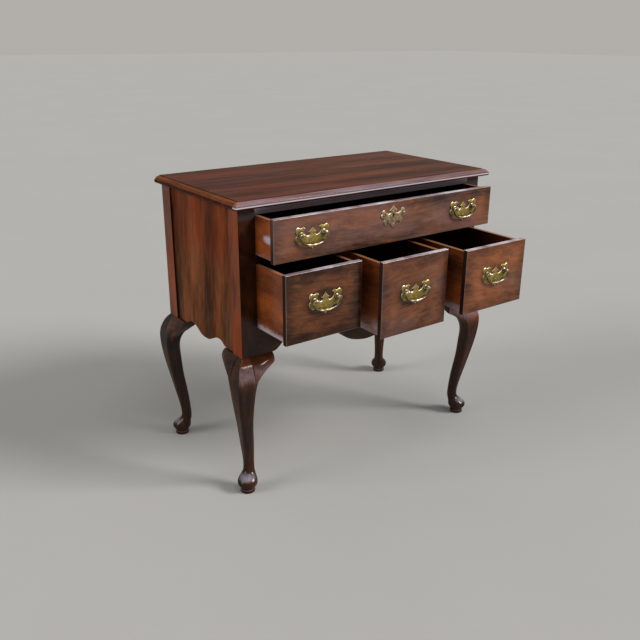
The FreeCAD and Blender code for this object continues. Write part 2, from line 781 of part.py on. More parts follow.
def make_front_frame():
    top_rail = make_rail("top_rail", UPPER_HIGH, UNDERSIDE, TOP_RAIL_TENON)
    half = "(Sizes.lock_bolt_width / 2 + Sizes.bolt_mortise_gap)"
    depth = (
        f"{LOCK_FACE} + Sizes.lock_wall - Sizes.bolt_mortise_gap",
        "Sizes.tongue_thickness - Sizes.lock_wall + Sizes.bolt_mortise_gap",
    )
    box(top_rail, "lock_mortise", (f"-{half}", half), depth,
        (UPPER_HIGH, f"{UPPER_HIGH} + Sizes.lock_travel + Sizes.bolt_mortise_gap"), cut=True)
    make_rail("mid_rail", LOWER_HIGH, UPPER_LOW, MID_RAIL_TENON)
    for side, label in ((-1, "left_divider"), (1, "right_divider")):
        x = (DIVIDER_INSIDE, DIVIDER_OUTSIDE)
        if side < 0:
            x = (f"-{DIVIDER_OUTSIDE}", f"-{DIVIDER_INSIDE}")
        plain_board(label, x, ("0", "Sizes.divider_depth"), (LOWER_LOW, LOWER_HIGH))


def make_back():
    rail = new_body("back_rail")
    box(rail, "back_rail_board", (f"-{POST_INSIDE}", POST_INSIDE),
        (BACK_RAIL_FACE, f"{BACK_RAIL_FACE} + Sizes.back_rail_thickness"),
        ("Sizes.shoulder_height", BACK_RAIL_HIGH))
    tenon_back = f"({BACK_RAIL_FACE} + Sizes.back_rail_thickness - Sizes.back_tenon_inset)"
    box(rail, "back_rail_tenons", RAIL_LENGTH,
        (f"{tenon_back} - Sizes.tenon_thickness", tenon_back), BACK_TENON)
    keep("back_rail", rail)
    plain_board(
        "back_panel", RAIL_LENGTH,
        (BACK_PANEL_FACE, f"{BACK_PANEL_FACE} + Sizes.back_thickness"),
        (BACK_RAIL_HIGH, UNDERSIDE),
    )


# -------------------------------------------------------------------- runners
def runner_body(name, side, top, thickness, guide):
    """A runner against a side of the case, with a guide strip above it if wanted."""
    outside = f"({HALF_WIDTH} - Sizes.panel_inset - Sizes.panel_thickness)"
    inside = f"({outside} - Sizes.runner_width)"
    strip = f"({POST_INSIDE} - Sizes.side_clearance + Sizes.guide_clearance)"

    def mirrored_pair(low, high):
        return (low, high) if side > 0 else (f"-{high}", f"-{low}")

    body = new_body(name)
    box(body, name + "_board", mirrored_pair(inside, outside), (POST_BACK, REAR_POST_FACE),
        (f"{top} - {thickness}", top))
    if guide:
        box(body, name + "_guide", mirrored_pair(strip, outside), (POST_BACK, REAR_POST_FACE),
            (f"{top} - {LAP}", f"{top} + Sizes.guide_height"))
    return body


def bearer_body(name, side):
    """The bearer behind a divider: a ledge for the drawer each side of a guide rib."""
    rib_in = f"({DIVIDER_INSIDE} - Sizes.guide_clearance)"
    rib_out = f"({DIVIDER_OUTSIDE} + Sizes.guide_clearance)"
    inner_ledge = (f"({rib_in} - Sizes.ledge_width)", f"({rib_in} + {LAP})")
    outer_ledge = (f"({rib_out} - {LAP})", f"({rib_out} + Sizes.ledge_width)")

    def mirrored_pair(low, high):
        return (low, high) if side > 0 else (f"-{high}", f"-{low}")

    body = new_body(name)
    run = ("Sizes.apron_thickness", BACK_RAIL_FACE)
    box(body, name + "_rib", mirrored_pair(rib_in, rib_out), run,
        (f"{MIDDLE_LOW} - Sizes.bearer_thickness", f"{LOWER_LOW}"))
    box(body, name + "_guide", mirrored_pair(rib_in, rib_out), (POST_BACK, BACK_RAIL_FACE),
        (f"{LOWER_LOW} - {LAP}", f"{LOWER_LOW} + Sizes.guide_height"))
    box(body, name + "_inner_ledge", mirrored_pair(*inner_ledge), run,
        (f"{MIDDLE_LOW} - Sizes.bearer_thickness", MIDDLE_LOW))
    box(body, name + "_outer_ledge", mirrored_pair(*outer_ledge), run,
        (f"{LOWER_LOW} - Sizes.bearer_thickness", LOWER_LOW))
    return body


def make_runners(screws):
    """The upper runners also keep the lower drawers from tipping as they are drawn out."""
    upper = [
        runner_body(f"upper_runner_{n}", side, UPPER_LOW, "Sizes.mid_rail_height", True)
        for n, side in enumerate((-1, 1))
    ]
    group("upper_runners", upper)
    lower = [
        runner_body(f"lower_runner_{n}", side, LOWER_LOW, "Sizes.runner_thickness", True)
        for n, side in enumerate((-1, 1))
    ]
    group("lower_runners", lower)
    group("divider_bearers", [bearer_body(f"bearer_{n}", side) for n, side in enumerate((-1, 1))])

    middle = f"(({DIVIDER_INSIDE} + {DIVIDER_OUTSIDE}) / 2)"
    kickers = []
    for n, side in enumerate((-1, 1)):
        kicker = runner_body(f"top_kicker_{n}", side, UNDERSIDE, "Sizes.top_rail_height", False)
        kickers.append(cut(f"top_kicker_{n}_drilled", kicker, screws))
    for n, side in enumerate((-1, 1)):
        body = new_body(f"mid_kicker_{n}")
        centre = f"{side} * {middle}"
        box(body, f"mid_kicker_{n}_board",
            (f"{centre} - Sizes.kicker_width / 2", f"{centre} + Sizes.kicker_width / 2"),
            ("Sizes.rail_depth", BACK_PANEL_FACE), (LOWER_HIGH, UPPER_LOW))
        kickers.append(body)
    group("drawer_kickers", kickers)


def make_top_screws():
    """Wood screws driven up through the kickers into the top."""
    screws = []
    radius, head = cell("screw_radius"), cell("screw_head")
    length, tip = cell("screw_length"), cell("screw_tip")
    places = [(side, depth) for side in (-1, 1) for depth in SCREW_PLACES]
    for n, (side, depth) in enumerate(places):
        body = new_body(f"top_screw_{n}", x=f"{side} * ({POST_INSIDE} + Sizes.screw_inset)",
                        y=f"{FRONT} + {depth}", z=UPPER_HIGH)
        sketch = sketch_on(body, f"top_screw_{n}_sketch", "XZ_Plane")
        draw(sketch, [
            line((0, 0), (head, 0)),
            line((head, 0), (radius, head)),
            line((radius, head), (radius, length - tip)),
            line((radius, length - tip), (0, length)),
            line((0, length), (0, 0)),
        ])
        turned = body.newObject("PartDesign::Revolution", f"top_screw_{n}_turned")
        turned.Profile = sketch
        turned.ReferenceAxis = (sketch, ["V_Axis"])
        turned.Angle = 360
        screws.append(body)
    return group("top_screws", screws)


# -------------------------------------------------------------------- drawers
THROUGH_FRONT = (f"-Sizes.lip_thickness - {LAP}", f"Sizes.tongue_thickness + {LAP}")


class Drawer:
    """One drawer: a lipped front, two sides, a back and a bottom let into grooves."""

    def __init__(self, name, low_x, high_x, low_z, high_z, out):
        self.name = name
        self.x = (low_x, high_x)
        self.z = (low_z, high_z)
        self.y = f"({FRONT} - Sizes.{out})"
        self.side_low = f"({low_z} + Sizes.floor_clearance)"
        self.side_high = f"({high_z} - Sizes.head_clearance)"
        self.left = f"({low_x} + Sizes.side_clearance)"
        self.right = f"({high_x} - Sizes.side_clearance)"
        self.left_inside = f"({self.left} + Sizes.side_thickness)"
        self.right_inside = f"({self.right} - Sizes.side_thickness)"
        self.floor = f"({self.side_low} + Sizes.bottom_height)"
        self.floor_top = f"({self.floor} + Sizes.bottom_thickness)"

    def body(self, label):
        return new_body(label, y=self.y)

    def make_front(self):
        label = self.name + "_front"
        body = self.body(label)
        lap = "Sizes.lip_overlap"
        lip = box(body, label + "_lip",
                  (f"{self.x[0]} - {lap}", f"{self.x[1]} + {lap}"),
                  ("-Sizes.lip_thickness", "0"),
                  (f"{self.z[0]} - {lap}", f"{self.z[1]} + {lap}"))
        face_y = -cell("lip_thickness")

        def on_face(edge):
            return abs(edge.BoundBox.YMin - face_y) < 0.001 and edge.BoundBox.YLength < 0.001

        round_edges(body, label + "_rounded", lip, on_face, "Sizes.lip_round")
        box(body, label + "_tongue", (self.left_inside, self.right_inside),
            (f"-{LAP}", "Sizes.tongue_thickness"), (self.side_low, self.side_high))
        box(body, label + "_groove", (self.left_inside, self.right_inside),
            ("Sizes.tongue_thickness - Sizes.groove_depth", "Sizes.tongue_thickness"),
            (self.floor, self.floor_top), cut=True)
        return keep(label, body)

    def make_box(self):
        depth = "Sizes.drawer_depth"
        groove = "Sizes.groove_depth"
        back_high = f"({depth} - Sizes.drawer_tail)"
        back_low = f"({back_high} - Sizes.side_thickness)"
        for side in ("left", "right"):
            label = f"{self.name}_{side}_side"
            body = self.body(label)
            if side == "left":
                x = (self.left, self.left_inside)
                slot = (f"{self.left_inside} - {groove}", self.left_inside)
            else:
                x = (self.right_inside, self.right)
                slot = (self.right_inside, f"{self.right_inside} + {groove}")
            box(body, label + "_board", x, ("0", depth), (self.side_low, self.side_high))
            box(body, label + "_groove", slot, ("0", depth), (self.floor, self.floor_top), cut=True)
            box(body, label + "_dado", slot, (back_low, back_high),
                (self.floor_top, self.side_high), cut=True)
            keep(label, body)
        body = self.body(self.name + "_back")
        box(body, self.name + "_back_board",
            (f"{self.left_inside} - {groove}", f"{self.right_inside} + {groove}"),
            (back_low, back_high),
            (self.floor_top, f"{self.side_high} - Sizes.back_headroom"))
        keep(self.name + "_back", body)
        body = self.body(self.name + "_bottom")
        box(body, self.name + "_bottom_board",
            (f"{self.left_inside} - {groove}", f"{self.right_inside} + {groove}"),
            (f"Sizes.tongue_thickness - {groove}", f"{back_high} + Sizes.bottom_overrun"),
            (self.floor, self.floor_top))
        keep(self.name + "_bottom", body)

    def drill_for_pull(self, number, centre_x, centre_z):
        """The two holes that the pull's bolts pass through."""
        body = kept[self.name + "_front"]
        for side in (-1, 1):
            bore(body, f"{self.name}_hole_{number}_{side + 1}",
                 "Sizes.bolt_radius + Sizes.bolt_clearance",
                 f"{centre_x} + {side} * Sizes.pull_spread / 2",
                 THROUGH_FRONT, f"{centre_z} + Sizes.pull_drop")


# ---------------------------------------------------------------------- pulls
THROUGH_PLATE = (f"-Sizes.plate_thickness - {LAP}", f"{LAP}")


def plate_curves(half):
    """Both halves of a plate's outline, the left one the mirror of the right."""
    right = [arc(*bend) for bend in half]
    left = []
    for start, middle, end in reversed(half):
        left.append(arc((-end[0], end[1]), (-middle[0], middle[1]), (-start[0], start[1])))
    return right + left


def make_plate(label, half, x, y, z):
    body = new_body(label, x=x, y=y, z=z)
    sketch = sketch_on(body, label + "_outline", "XZ_Plane")
    draw(sketch, plate_curves(half))
    pad(body, label + "_pad", sketch, "Sizes.plate_thickness")
    return keep(label, body)


def bail_curves():
    """The bail's line from the hole in one post, round the loop, to the other."""
    half_spread = cell("pull_spread") / 2
    pin_start = half_spread - cell("bail_pin_inset")
    turn = cell("bail_turn")
    shoulder = half_spread + cell("bail_shoulder")
    drop_radius, drop_angle = cell("bail_drop_radius"), math.radians(cell("bail_drop_angle"))
    side = shoulder + turn
    low_x = side - drop_radius * (1 - math.cos(drop_angle))
    low_z = -turn - drop_radius * math.sin(drop_angle)
    sweep = math.pi / 2 - drop_angle
    belly_radius = low_x / math.sin(sweep)
    belly_z = low_z - belly_radius * (1 - math.cos(sweep))

    def drop_point(angle):
        return (
            side - drop_radius * (1 - math.cos(angle)),
            -turn - drop_radius * math.sin(angle),
        )

    elbow = (shoulder + turn * (1 - QUARTER_ROUND), -turn * QUARTER_ROUND)
    right = [
        line((pin_start, 0), (shoulder, 0)),
        arc((shoulder, 0), elbow, (side, -turn)),
        arc((side, -turn), drop_point(drop_angle / 2), (low_x, low_z)),
    ]
    belly = arc((low_x, low_z), (0, belly_z), (-low_x, low_z))
    left = [
        arc((-low_x, low_z), (-drop_point(drop_angle / 2)[0], drop_point(drop_angle / 2)[1]),
            (-side, -turn)),
        arc((-side, -turn), (-elbow[0], elbow[1]), (-shoulder, 0)),
        line((-shoulder, 0), (-pin_start, 0)),
    ]
    return right + [belly] + left, pin_start, belly_z


def make_bail(label, x, y, z):
    """A cast bail, thicker in the middle, whose pins turn in the post heads."""
    body = new_body(label, x=x, y=y, z=z)
    curves, pin_start, belly_z = bail_curves()
    path = sketch_on(body, label + "_path", "XZ_Plane")
    draw(path, curves, closed=False)
    section = sketch_on(body, label + "_section", "YZ_Plane", str(pin_start))
    section.addGeometry(Part.Circle(vector(0, 0), FreeCAD.Vector(0, 0, 1), cell("bail_radius")), False)
    section.addConstraint(Sketcher.Constraint("Coincident", 0, 3, -1, 1))
    section.addConstraint(Sketcher.Constraint("Radius", 0, cell("bail_radius")))
    section.setExpression("Constraints[1]", "Sizes.bail_radius")
    rod = body.newObject("PartDesign::AdditivePipe", label + "_rod")
    rod.Profile = section
    rod.Spine = (path, [f"Edge{n}" for n in range(1, len(curves) + 1)])

    swell = sketch_on(body, label + "_swell_sketch", "XZ_Plane")
    reach, radius, sag = cell("bail_swell_reach"), cell("bail_swell"), cell("bail_swell_sag")
    draw(swell, [
        arc((-reach, belly_z + sag), (0, belly_z + radius), (reach, belly_z + sag)),
        line((reach, belly_z + sag), (reach, belly_z)),
        line((reach, belly_z), (-reach, belly_z)),
        line((-reach, belly_z), (-reach, belly_z + sag)),
    ])
    turned = body.newObject("PartDesign::Revolution", label + "_swell")
    turned.Profile = swell
    turned.ReferenceAxis = (swell, ["Edge3"])
    turned.Angle = 360
    return keep(label, body)


def bolt_profile(wood):
    """Half the outline of a post and its shank, from the end behind the wood."""
    shank, chamfer = cell("bolt_radius"), cell("bolt_chamfer")
    neck, flange, ball = cell("bolt_neck"), cell("bolt_flange"), cell("bolt_ball")
    stand_off = cell("bail_stand_off")
    end = wood + cell("nut_thickness") + cell("bolt_tail")
    seat = -cell("plate_thickness")
    rim, collar = seat - cell("bolt_flange_rim"), seat - cell("bolt_flange_height")
    shoulder = (flange - 0.4 * (flange - neck), collar + 0.2 * (rim - collar))
    ball_back = -stand_off + math.sqrt(ball ** 2 - neck ** 2)
    tip = -stand_off - ball
    return [
        line((0, end), (shank - chamfer, end)),
        line((shank - chamfer, end), (shank, end - chamfer)),
        line((shank, end - chamfer), (shank, seat)),
        line((shank, seat), (flange, seat)),
        line((flange, seat), (flange, rim)),
        arc((flange, rim), shoulder, (neck, collar)),
        line((neck, collar), (neck, ball_back)),
        arc((neck, ball_back), (ball, -stand_off), (0, tip)),
        line((0, tip), (0, end)),
    ]


def make_bolts(name, number, x, y, z):
    """The two posts of a pull with their nuts, as four solids."""
    wood = cell("tongue_thickness") + cell("lip_thickness")
    pieces = []
    for side in (-1, 1):
        tag = f"{name}_{number}_{side + 1}"
        at_x = f"{x} + {side} * Sizes.pull_spread / 2"
        post = new_body(f"post_{tag}", x=at_x, y=y, z=z)
        sketch = sketch_on(post, f"post_{tag}_sketch", "XY_Plane")
        draw(sketch, bolt_profile(wood))
        turned = post.newObject("PartDesign::Revolution", f"post_{tag}_turned")
        turned.Profile = sketch
        turned.ReferenceAxis = (sketch, ["V_Axis"])
        turned.Angle = 360
        eye = post.newObject("PartDesign::SubtractiveCylinder", f"post_{tag}_eye")
        eye.Placement = FreeCAD.Placement(
            FreeCAD.Vector(0, 0, 0), FreeCAD.Rotation(FreeCAD.Vector(0, 1, 0), 90 * side)
        )
        bind(eye, Radius="Sizes.bail_radius + Sizes.bail_fit", Height="Sizes.eye_length")
        place(eye, f"{-side} * Sizes.eye_start", "-Sizes.bail_stand_off", "0")
        pieces.append(post)

        nut = new_body(f"nut_{tag}", x=at_x, y=f"{y} + {wood}", z=z)
        half = "Sizes.nut_size / 2"
        box(nut, f"nut_{tag}_square", (f"-{half}", half), ("0", "Sizes.nut_thickness"),
            (f"-{half}", half))
        bore(nut, f"nut_{tag}_hole", "Sizes.bolt_radius", "0",
             (f"-{LAP}", f"Sizes.nut_thickness + {LAP}"), "0")
        pieces.append(nut)
    return pieces


def make_pulls(drawer, bolt_label, pulls):
    """Plates, bails and bolts for one drawer; pulls gives label, x and height of each."""
    bolts = []
    face_y = f"({drawer.y} - Sizes.lip_thickness)"
    for number, (label, x, z) in enumerate(pulls):
        pivot_z = f"({z} + Sizes.pull_drop)"
        drawer.drill_for_pull(number, x, z)
        plate = make_plate(label + "_plate", PLATE_ARCS, x, face_y, z)
        for side in (-1, 1):
            bore(plate, f"{label}_plate_hole_{side + 1}", "Sizes.bolt_radius + Sizes.bolt_clearance",
                 f"{side} * Sizes.pull_spread / 2", THROUGH_PLATE, "Sizes.pull_drop")
        make_bail(label + "_bail", x, f"({face_y} - Sizes.bail_stand_off)", pivot_z)
        bolts += make_bolts(label, number, x, face_y, pivot_z)
    group(bolt_label, bolts)


# ----------------------------------------------------------------------- lock
def keyhole(body, name, y, centre_z):
    """A round eye over a narrow slot."""
    slot = "Sizes.keyhole_slot / 2"
    bore(body, name + "_eye", "Sizes.keyhole_radius", "0", y, centre_z)
    box(body, name + "_slot", (f"-{slot}", slot), y,
        (f"{centre_z} - Sizes.keyhole_drop", centre_z), cut=True)


def make_lock(drawer):
    """A half-mortise lock in the wide drawer, its plate and its sliding bolt."""
    front = kept[drawer.name + "_front"]
    key_z = "Sizes.keyhole_height"
    half = "(Sizes.lock_width / 2)"
    high = drawer.side_high
    low = f"({high} - Sizes.lock_height)"
    inner = "Sizes.tongue_thickness"
    box(front, "lock_recess", (f"-{half}", half), (LOCK_FACE, f"{inner} + {LAP}"),
        (low, f"{high} + {LAP}"), cut=True)
    keyhole(front, "front_keyhole", THROUGH_FRONT, key_z)

    case = drawer.body("lock_case")
    box(case, "lock_case_block", (f"-{half}", half), (LOCK_FACE, inner), (low, high))
    bolt_half = "(Sizes.lock_bolt_width / 2)"
    play = "Sizes.lock_bolt_play"
    wall = "Sizes.lock_wall"
    box(case, "lock_case_room", (f"-{bolt_half} - {play}", f"{bolt_half} + {play}"),
        (f"{LOCK_FACE} + {wall}", f"{inner} - {wall}"),
        (f"{high} - Sizes.lock_bolt_height - {play}", f"{high} + {LAP}"), cut=True)
    keyhole(case, "lock_case_keyhole", (f"{LOCK_FACE} - {LAP}", f"{inner} - {wall}"), key_z)
    keep("lock_case", case)

    bolt = drawer.body("lock_bolt")
    box(bolt, "lock_bolt_block", (f"-{bolt_half}", bolt_half),
        (f"{LOCK_FACE} + {wall} + {play}", f"{inner} - {wall} - {play}"),
        (f"{high} - Sizes.lock_bolt_height", high))
    keep("lock_bolt", bolt)

    face_y = f"({drawer.y} - Sizes.lip_thickness)"
    plate_z = "Sizes.escutcheon_height"
    plate = make_plate("escutcheon", ESCUTCHEON_ARCS, "0", face_y, plate_z)
    keyhole(plate, "escutcheon_keyhole", THROUGH_PLATE, f"({key_z} - {plate_z})")
    shank, length = cell("pin_radius"), cell("pin_length")
    head, dome = cell("pin_head"), cell("pin_dome")
    seat = -cell("plate_thickness")
    ball = (head ** 2 + dome ** 2) / (2 * dome)
    on_ball = math.sqrt(ball ** 2 - (head / 2) ** 2) - (ball - dome)
    pins = []
    for number, (x, z) in enumerate(ESCUTCHEON_PINS):
        bore(plate, f"escutcheon_pin_hole_{number}", "Sizes.pin_radius", str(x),
             THROUGH_PLATE, str(z))
        bore(front, f"pin_hole_{number}", "Sizes.pin_radius", str(x),
             (THROUGH_FRONT[0], "-Sizes.lip_thickness + Sizes.pin_length"), f"{plate_z} + {z}")
        pin = new_body(f"escutcheon_pin_{number}", x=str(x), y=face_y, z=f"{plate_z} + {z}")
        sketch = sketch_on(pin, f"escutcheon_pin_sketch_{number}", "XY_Plane")
        draw(sketch, [
            line((0, length), (shank, length)),
            line((shank, length), (shank, seat)),
            line((shank, seat), (head, seat)),
            arc((head, seat), (head / 2, seat - on_ball), (0, seat - dome)),
            line((0, seat - dome), (0, length)),
        ])
        turned = pin.newObject("PartDesign::Revolution", f"escutcheon_pin_turned_{number}")
        turned.Profile = sketch
        turned.ReferenceAxis = (sketch, ["V_Axis"])
        turned.Angle = 360
        pins.append(pin)
    group("escutcheon_pins", pins)


# ---------------------------------------------------------------------- build
top_blank = make_top()
top_screws = make_top_screws()
keep("top_board", cut("top_board", top_blank, top_screws))
make_legs()
make_knee_blocks()
make_side_panel("left_side_panel", -1)
make_side_panel("right_side_panel", 1)
make_apron()
make_front_frame()
make_back()
make_runners(top_screws)

top_drawer = Drawer("top_drawer", f"-{POST_INSIDE}", POST_INSIDE,
                    UPPER_LOW, UPPER_HIGH, "top_drawer_out")
left_drawer = Drawer("left_drawer", f"-{POST_INSIDE}", f"-{DIVIDER_OUTSIDE}",
                     LOWER_LOW, LOWER_HIGH, "left_drawer_out")
middle_drawer = Drawer("middle_drawer", f"-{DIVIDER_INSIDE}", DIVIDER_INSIDE,
                       MIDDLE_LOW, LOWER_HIGH, "middle_drawer_out")
right_drawer = Drawer("right_drawer", DIVIDER_OUTSIDE, POST_INSIDE,
                      LOWER_LOW, LOWER_HIGH, "right_drawer_out")
for drawer in (top_drawer, left_drawer, middle_drawer, right_drawer):
    drawer.make_front()
    drawer.make_box()
make_lock(top_drawer)
make_pulls(top_drawer, "top_drawer_pull_bolts", [
    ("top_left_pull", "-Sizes.upper_pull_x", "Sizes.upper_pull_height"),
    ("top_right_pull", "Sizes.upper_pull_x", "Sizes.upper_pull_height"),
])
make_pulls(left_drawer, "left_drawer_pull_bolts",
           [("left_pull", "-Sizes.side_pull_x", "Sizes.side_pull_height")])
make_pulls(middle_drawer, "middle_drawer_pull_bolts",
           [("middle_pull", "0", "Sizes.middle_pull_height")])
make_pulls(right_drawer, "right_drawer_pull_bolts",
           [("right_pull", "Sizes.side_pull_x", "Sizes.side_pull_height")])

doc.recompute()
for obj in doc.Objects:
    for state in obj.State:
        if state in ("Invalid", "Error"):
            raise RuntimeError(f"{obj.Name} is {state}")
os.makedirs("parts", exist_ok=True)
for label, obj in kept.items():
    shape = obj.Shape
    if shape.isNull() or not shape.isValid() or not shape.Solids:
        raise RuntimeError(f"{label} has no valid shape")
for label, obj in kept.items():
    obj.Shape.exportStep(f"parts/{label}.step")
print(len(kept), "pieces")
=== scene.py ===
"""Dresses the lowboy's frame: stained and polished wood, antiqued brass, and a plain studio."""

import math
from dataclasses import dataclass
from functools import cached_property

import bmesh
import bpy
from bpy.types import Operator, Panel, PropertyGroup
from mathutils import Matrix, Vector


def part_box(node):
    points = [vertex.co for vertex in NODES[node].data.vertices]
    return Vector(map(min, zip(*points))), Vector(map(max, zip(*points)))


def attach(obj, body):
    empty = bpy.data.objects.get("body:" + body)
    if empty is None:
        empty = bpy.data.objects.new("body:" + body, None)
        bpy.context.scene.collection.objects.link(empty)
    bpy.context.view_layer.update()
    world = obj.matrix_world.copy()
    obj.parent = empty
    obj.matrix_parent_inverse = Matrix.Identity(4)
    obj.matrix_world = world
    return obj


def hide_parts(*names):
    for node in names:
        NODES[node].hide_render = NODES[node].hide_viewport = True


bl_info = {
    "name": "Queen Anne Lowboy",
    "version": (1, 0, 0),
    "blender": (4, 5, 0),
    "location": "3D View > Sidebar > Lowboy",
    "description": "Polished wood and antiqued brass for a lowboy with four drawers",
    "category": "Object",
}

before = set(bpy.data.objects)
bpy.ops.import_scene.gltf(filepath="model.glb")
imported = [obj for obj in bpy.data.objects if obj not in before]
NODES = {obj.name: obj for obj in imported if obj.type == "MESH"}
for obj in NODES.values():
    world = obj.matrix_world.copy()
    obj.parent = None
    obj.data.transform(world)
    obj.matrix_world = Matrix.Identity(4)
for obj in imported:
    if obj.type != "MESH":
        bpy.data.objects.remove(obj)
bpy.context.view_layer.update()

MM = 0.001

# The drawers, and each pull with the drawer that it is bolted to.
DRAWERS = ("top", "left", "middle", "right")
PULLS = {
    "top_left_pull": "top_drawer",
    "top_right_pull": "top_drawer",
    "left_pull": "left_drawer",
    "middle_pull": "middle_drawer",
    "right_pull": "right_drawer",
}

# The maker's drawings of the brass plates, in millimetres from the plate's centre: the right
# half of each outline as a chain of arcs, from its top point down to its bottom one. The arcs
# meet at every other point, and the points between lie on them.
PLATE_OUTLINE = [
    (0.0, 27.5),
    (4.4, 19.0), (12.2, 12.6), (9.6, 11.4), (8.0, 8.2), (11.4, 5.0), (16.2, 6.4),
    (20.6, 8.6), (23.4, 13.6), (22.4, 19.6), (18.4, 23.6), (22.6, 25.4), (25.8, 29.4),
    (29.4, 25.0), (34.2, 24.6), (40.8, 26.8), (45.6, 23.6), (47.4, 17.4), (44.2, 11.2),
    (44.0, 7.6), (46.6, 4.6), (47.2, -3.6), (42.6, -9.4), (36.6, -12.8), (30.2, -10.6),
    (24.4, -10.4), (20.0, -14.4), (15.0, -17.4), (9.6, -16.8), (7.8, -18.6), (9.0, -20.6),
    (9.4, -23.2), (7.0, -24.4), (5.2, -24.2), (3.6, -23.0), (2.8, -26.2), (0.0, -28.2),
]
ESCUTCHEON_OUTLINE = [
    (0.0, 25.2),
    (5.6, 18.6), (12.8, 12.8), (10.2, 10.6), (8.8, 7.6), (13.0, 4.8), (18.2, 6.0),
    (22.8, 8.2), (25.6, 12.4), (30.0, 15.8), (34.4, 13.6), (36.8, 9.8), (35.6, 5.6),
    (40.0, 2.2), (39.4, -2.6), (35.8, -6.0), (31.2, -5.6), (29.2, -7.8), (30.2, -10.4),
    (30.8, -17.2), (25.2, -21.2), (20.8, -20.8), (17.4, -17.4), (15.0, -20.4), (11.4, -21.2),
    (8.8, -20.6), (6.6, -18.0), (7.6, -22.4), (7.0, -26.4), (5.2, -27.6), (3.2, -26.8),
    (2.6, -30.0), (0.0, -32.0),
]

# The holes in the plates: how far apart a pull's two posts are, how high above its centre and
# their holes' radius, and the keyhole, a round eye over a slot, from the plate's centre.
POST_SPREAD = 63.5 * MM
POST_RISE = 10 * MM
POST_HOLE = 2.4 * MM
KEYHOLE = {"x": 0.0, "z": 2 * MM, "eye": 3 * MM, "slot": 2.6 * MM, "drop": 7 * MM}

# The rings of points round a plate's bevel, in from its outline and back from its face, as
# shares of the bevel's width, and how far a corner may stretch that.
BEVEL_RINGS = [(0.0, 0.75), (0.45, 0.22), (1.0, 0.0)]
LONGEST_MITRE = 2.2

# The top's moulded edge: its width, and its upright fillet's place above the underside.
MOULD_WIDTH = 14.7 * MM
FILLET_FOOT = 5 * MM
FILLET_HEAD = 9.5 * MM


# ---------- shader maths
class Shade:
    """A socket of a finish's nodes. Arithmetic on it adds Math nodes."""

    def __init__(self, finish, socket):
        self.finish = finish
        self.socket = socket

    def _math(self, operation, first, second=0.0):
        return self.finish.add("ShaderNodeMath", {"operation": operation}, {0: first, 1: second})

    def __add__(self, other):
        return self._math("ADD", self, other)

    def __radd__(self, other):
        return self._math("ADD", other, self)

    def __sub__(self, other):
        return self._math("SUBTRACT", self, other)

    def __rsub__(self, other):
        return self._math("SUBTRACT", other, self)

    def __mul__(self, other):
        return self._math("MULTIPLY", self, other)

    def __rmul__(self, other):
        return self._math("MULTIPLY", other, self)

    def root(self):
        return self._math("SQRT", self)

    def size(self):
        return self._math("ABSOLUTE", self)

    def least(self, other):
        return self._math("MINIMUM", self, other)


def distance(aside, above):
    """How far off a point is that lies so far aside and so far above."""
    return (aside * aside + above * above).root()


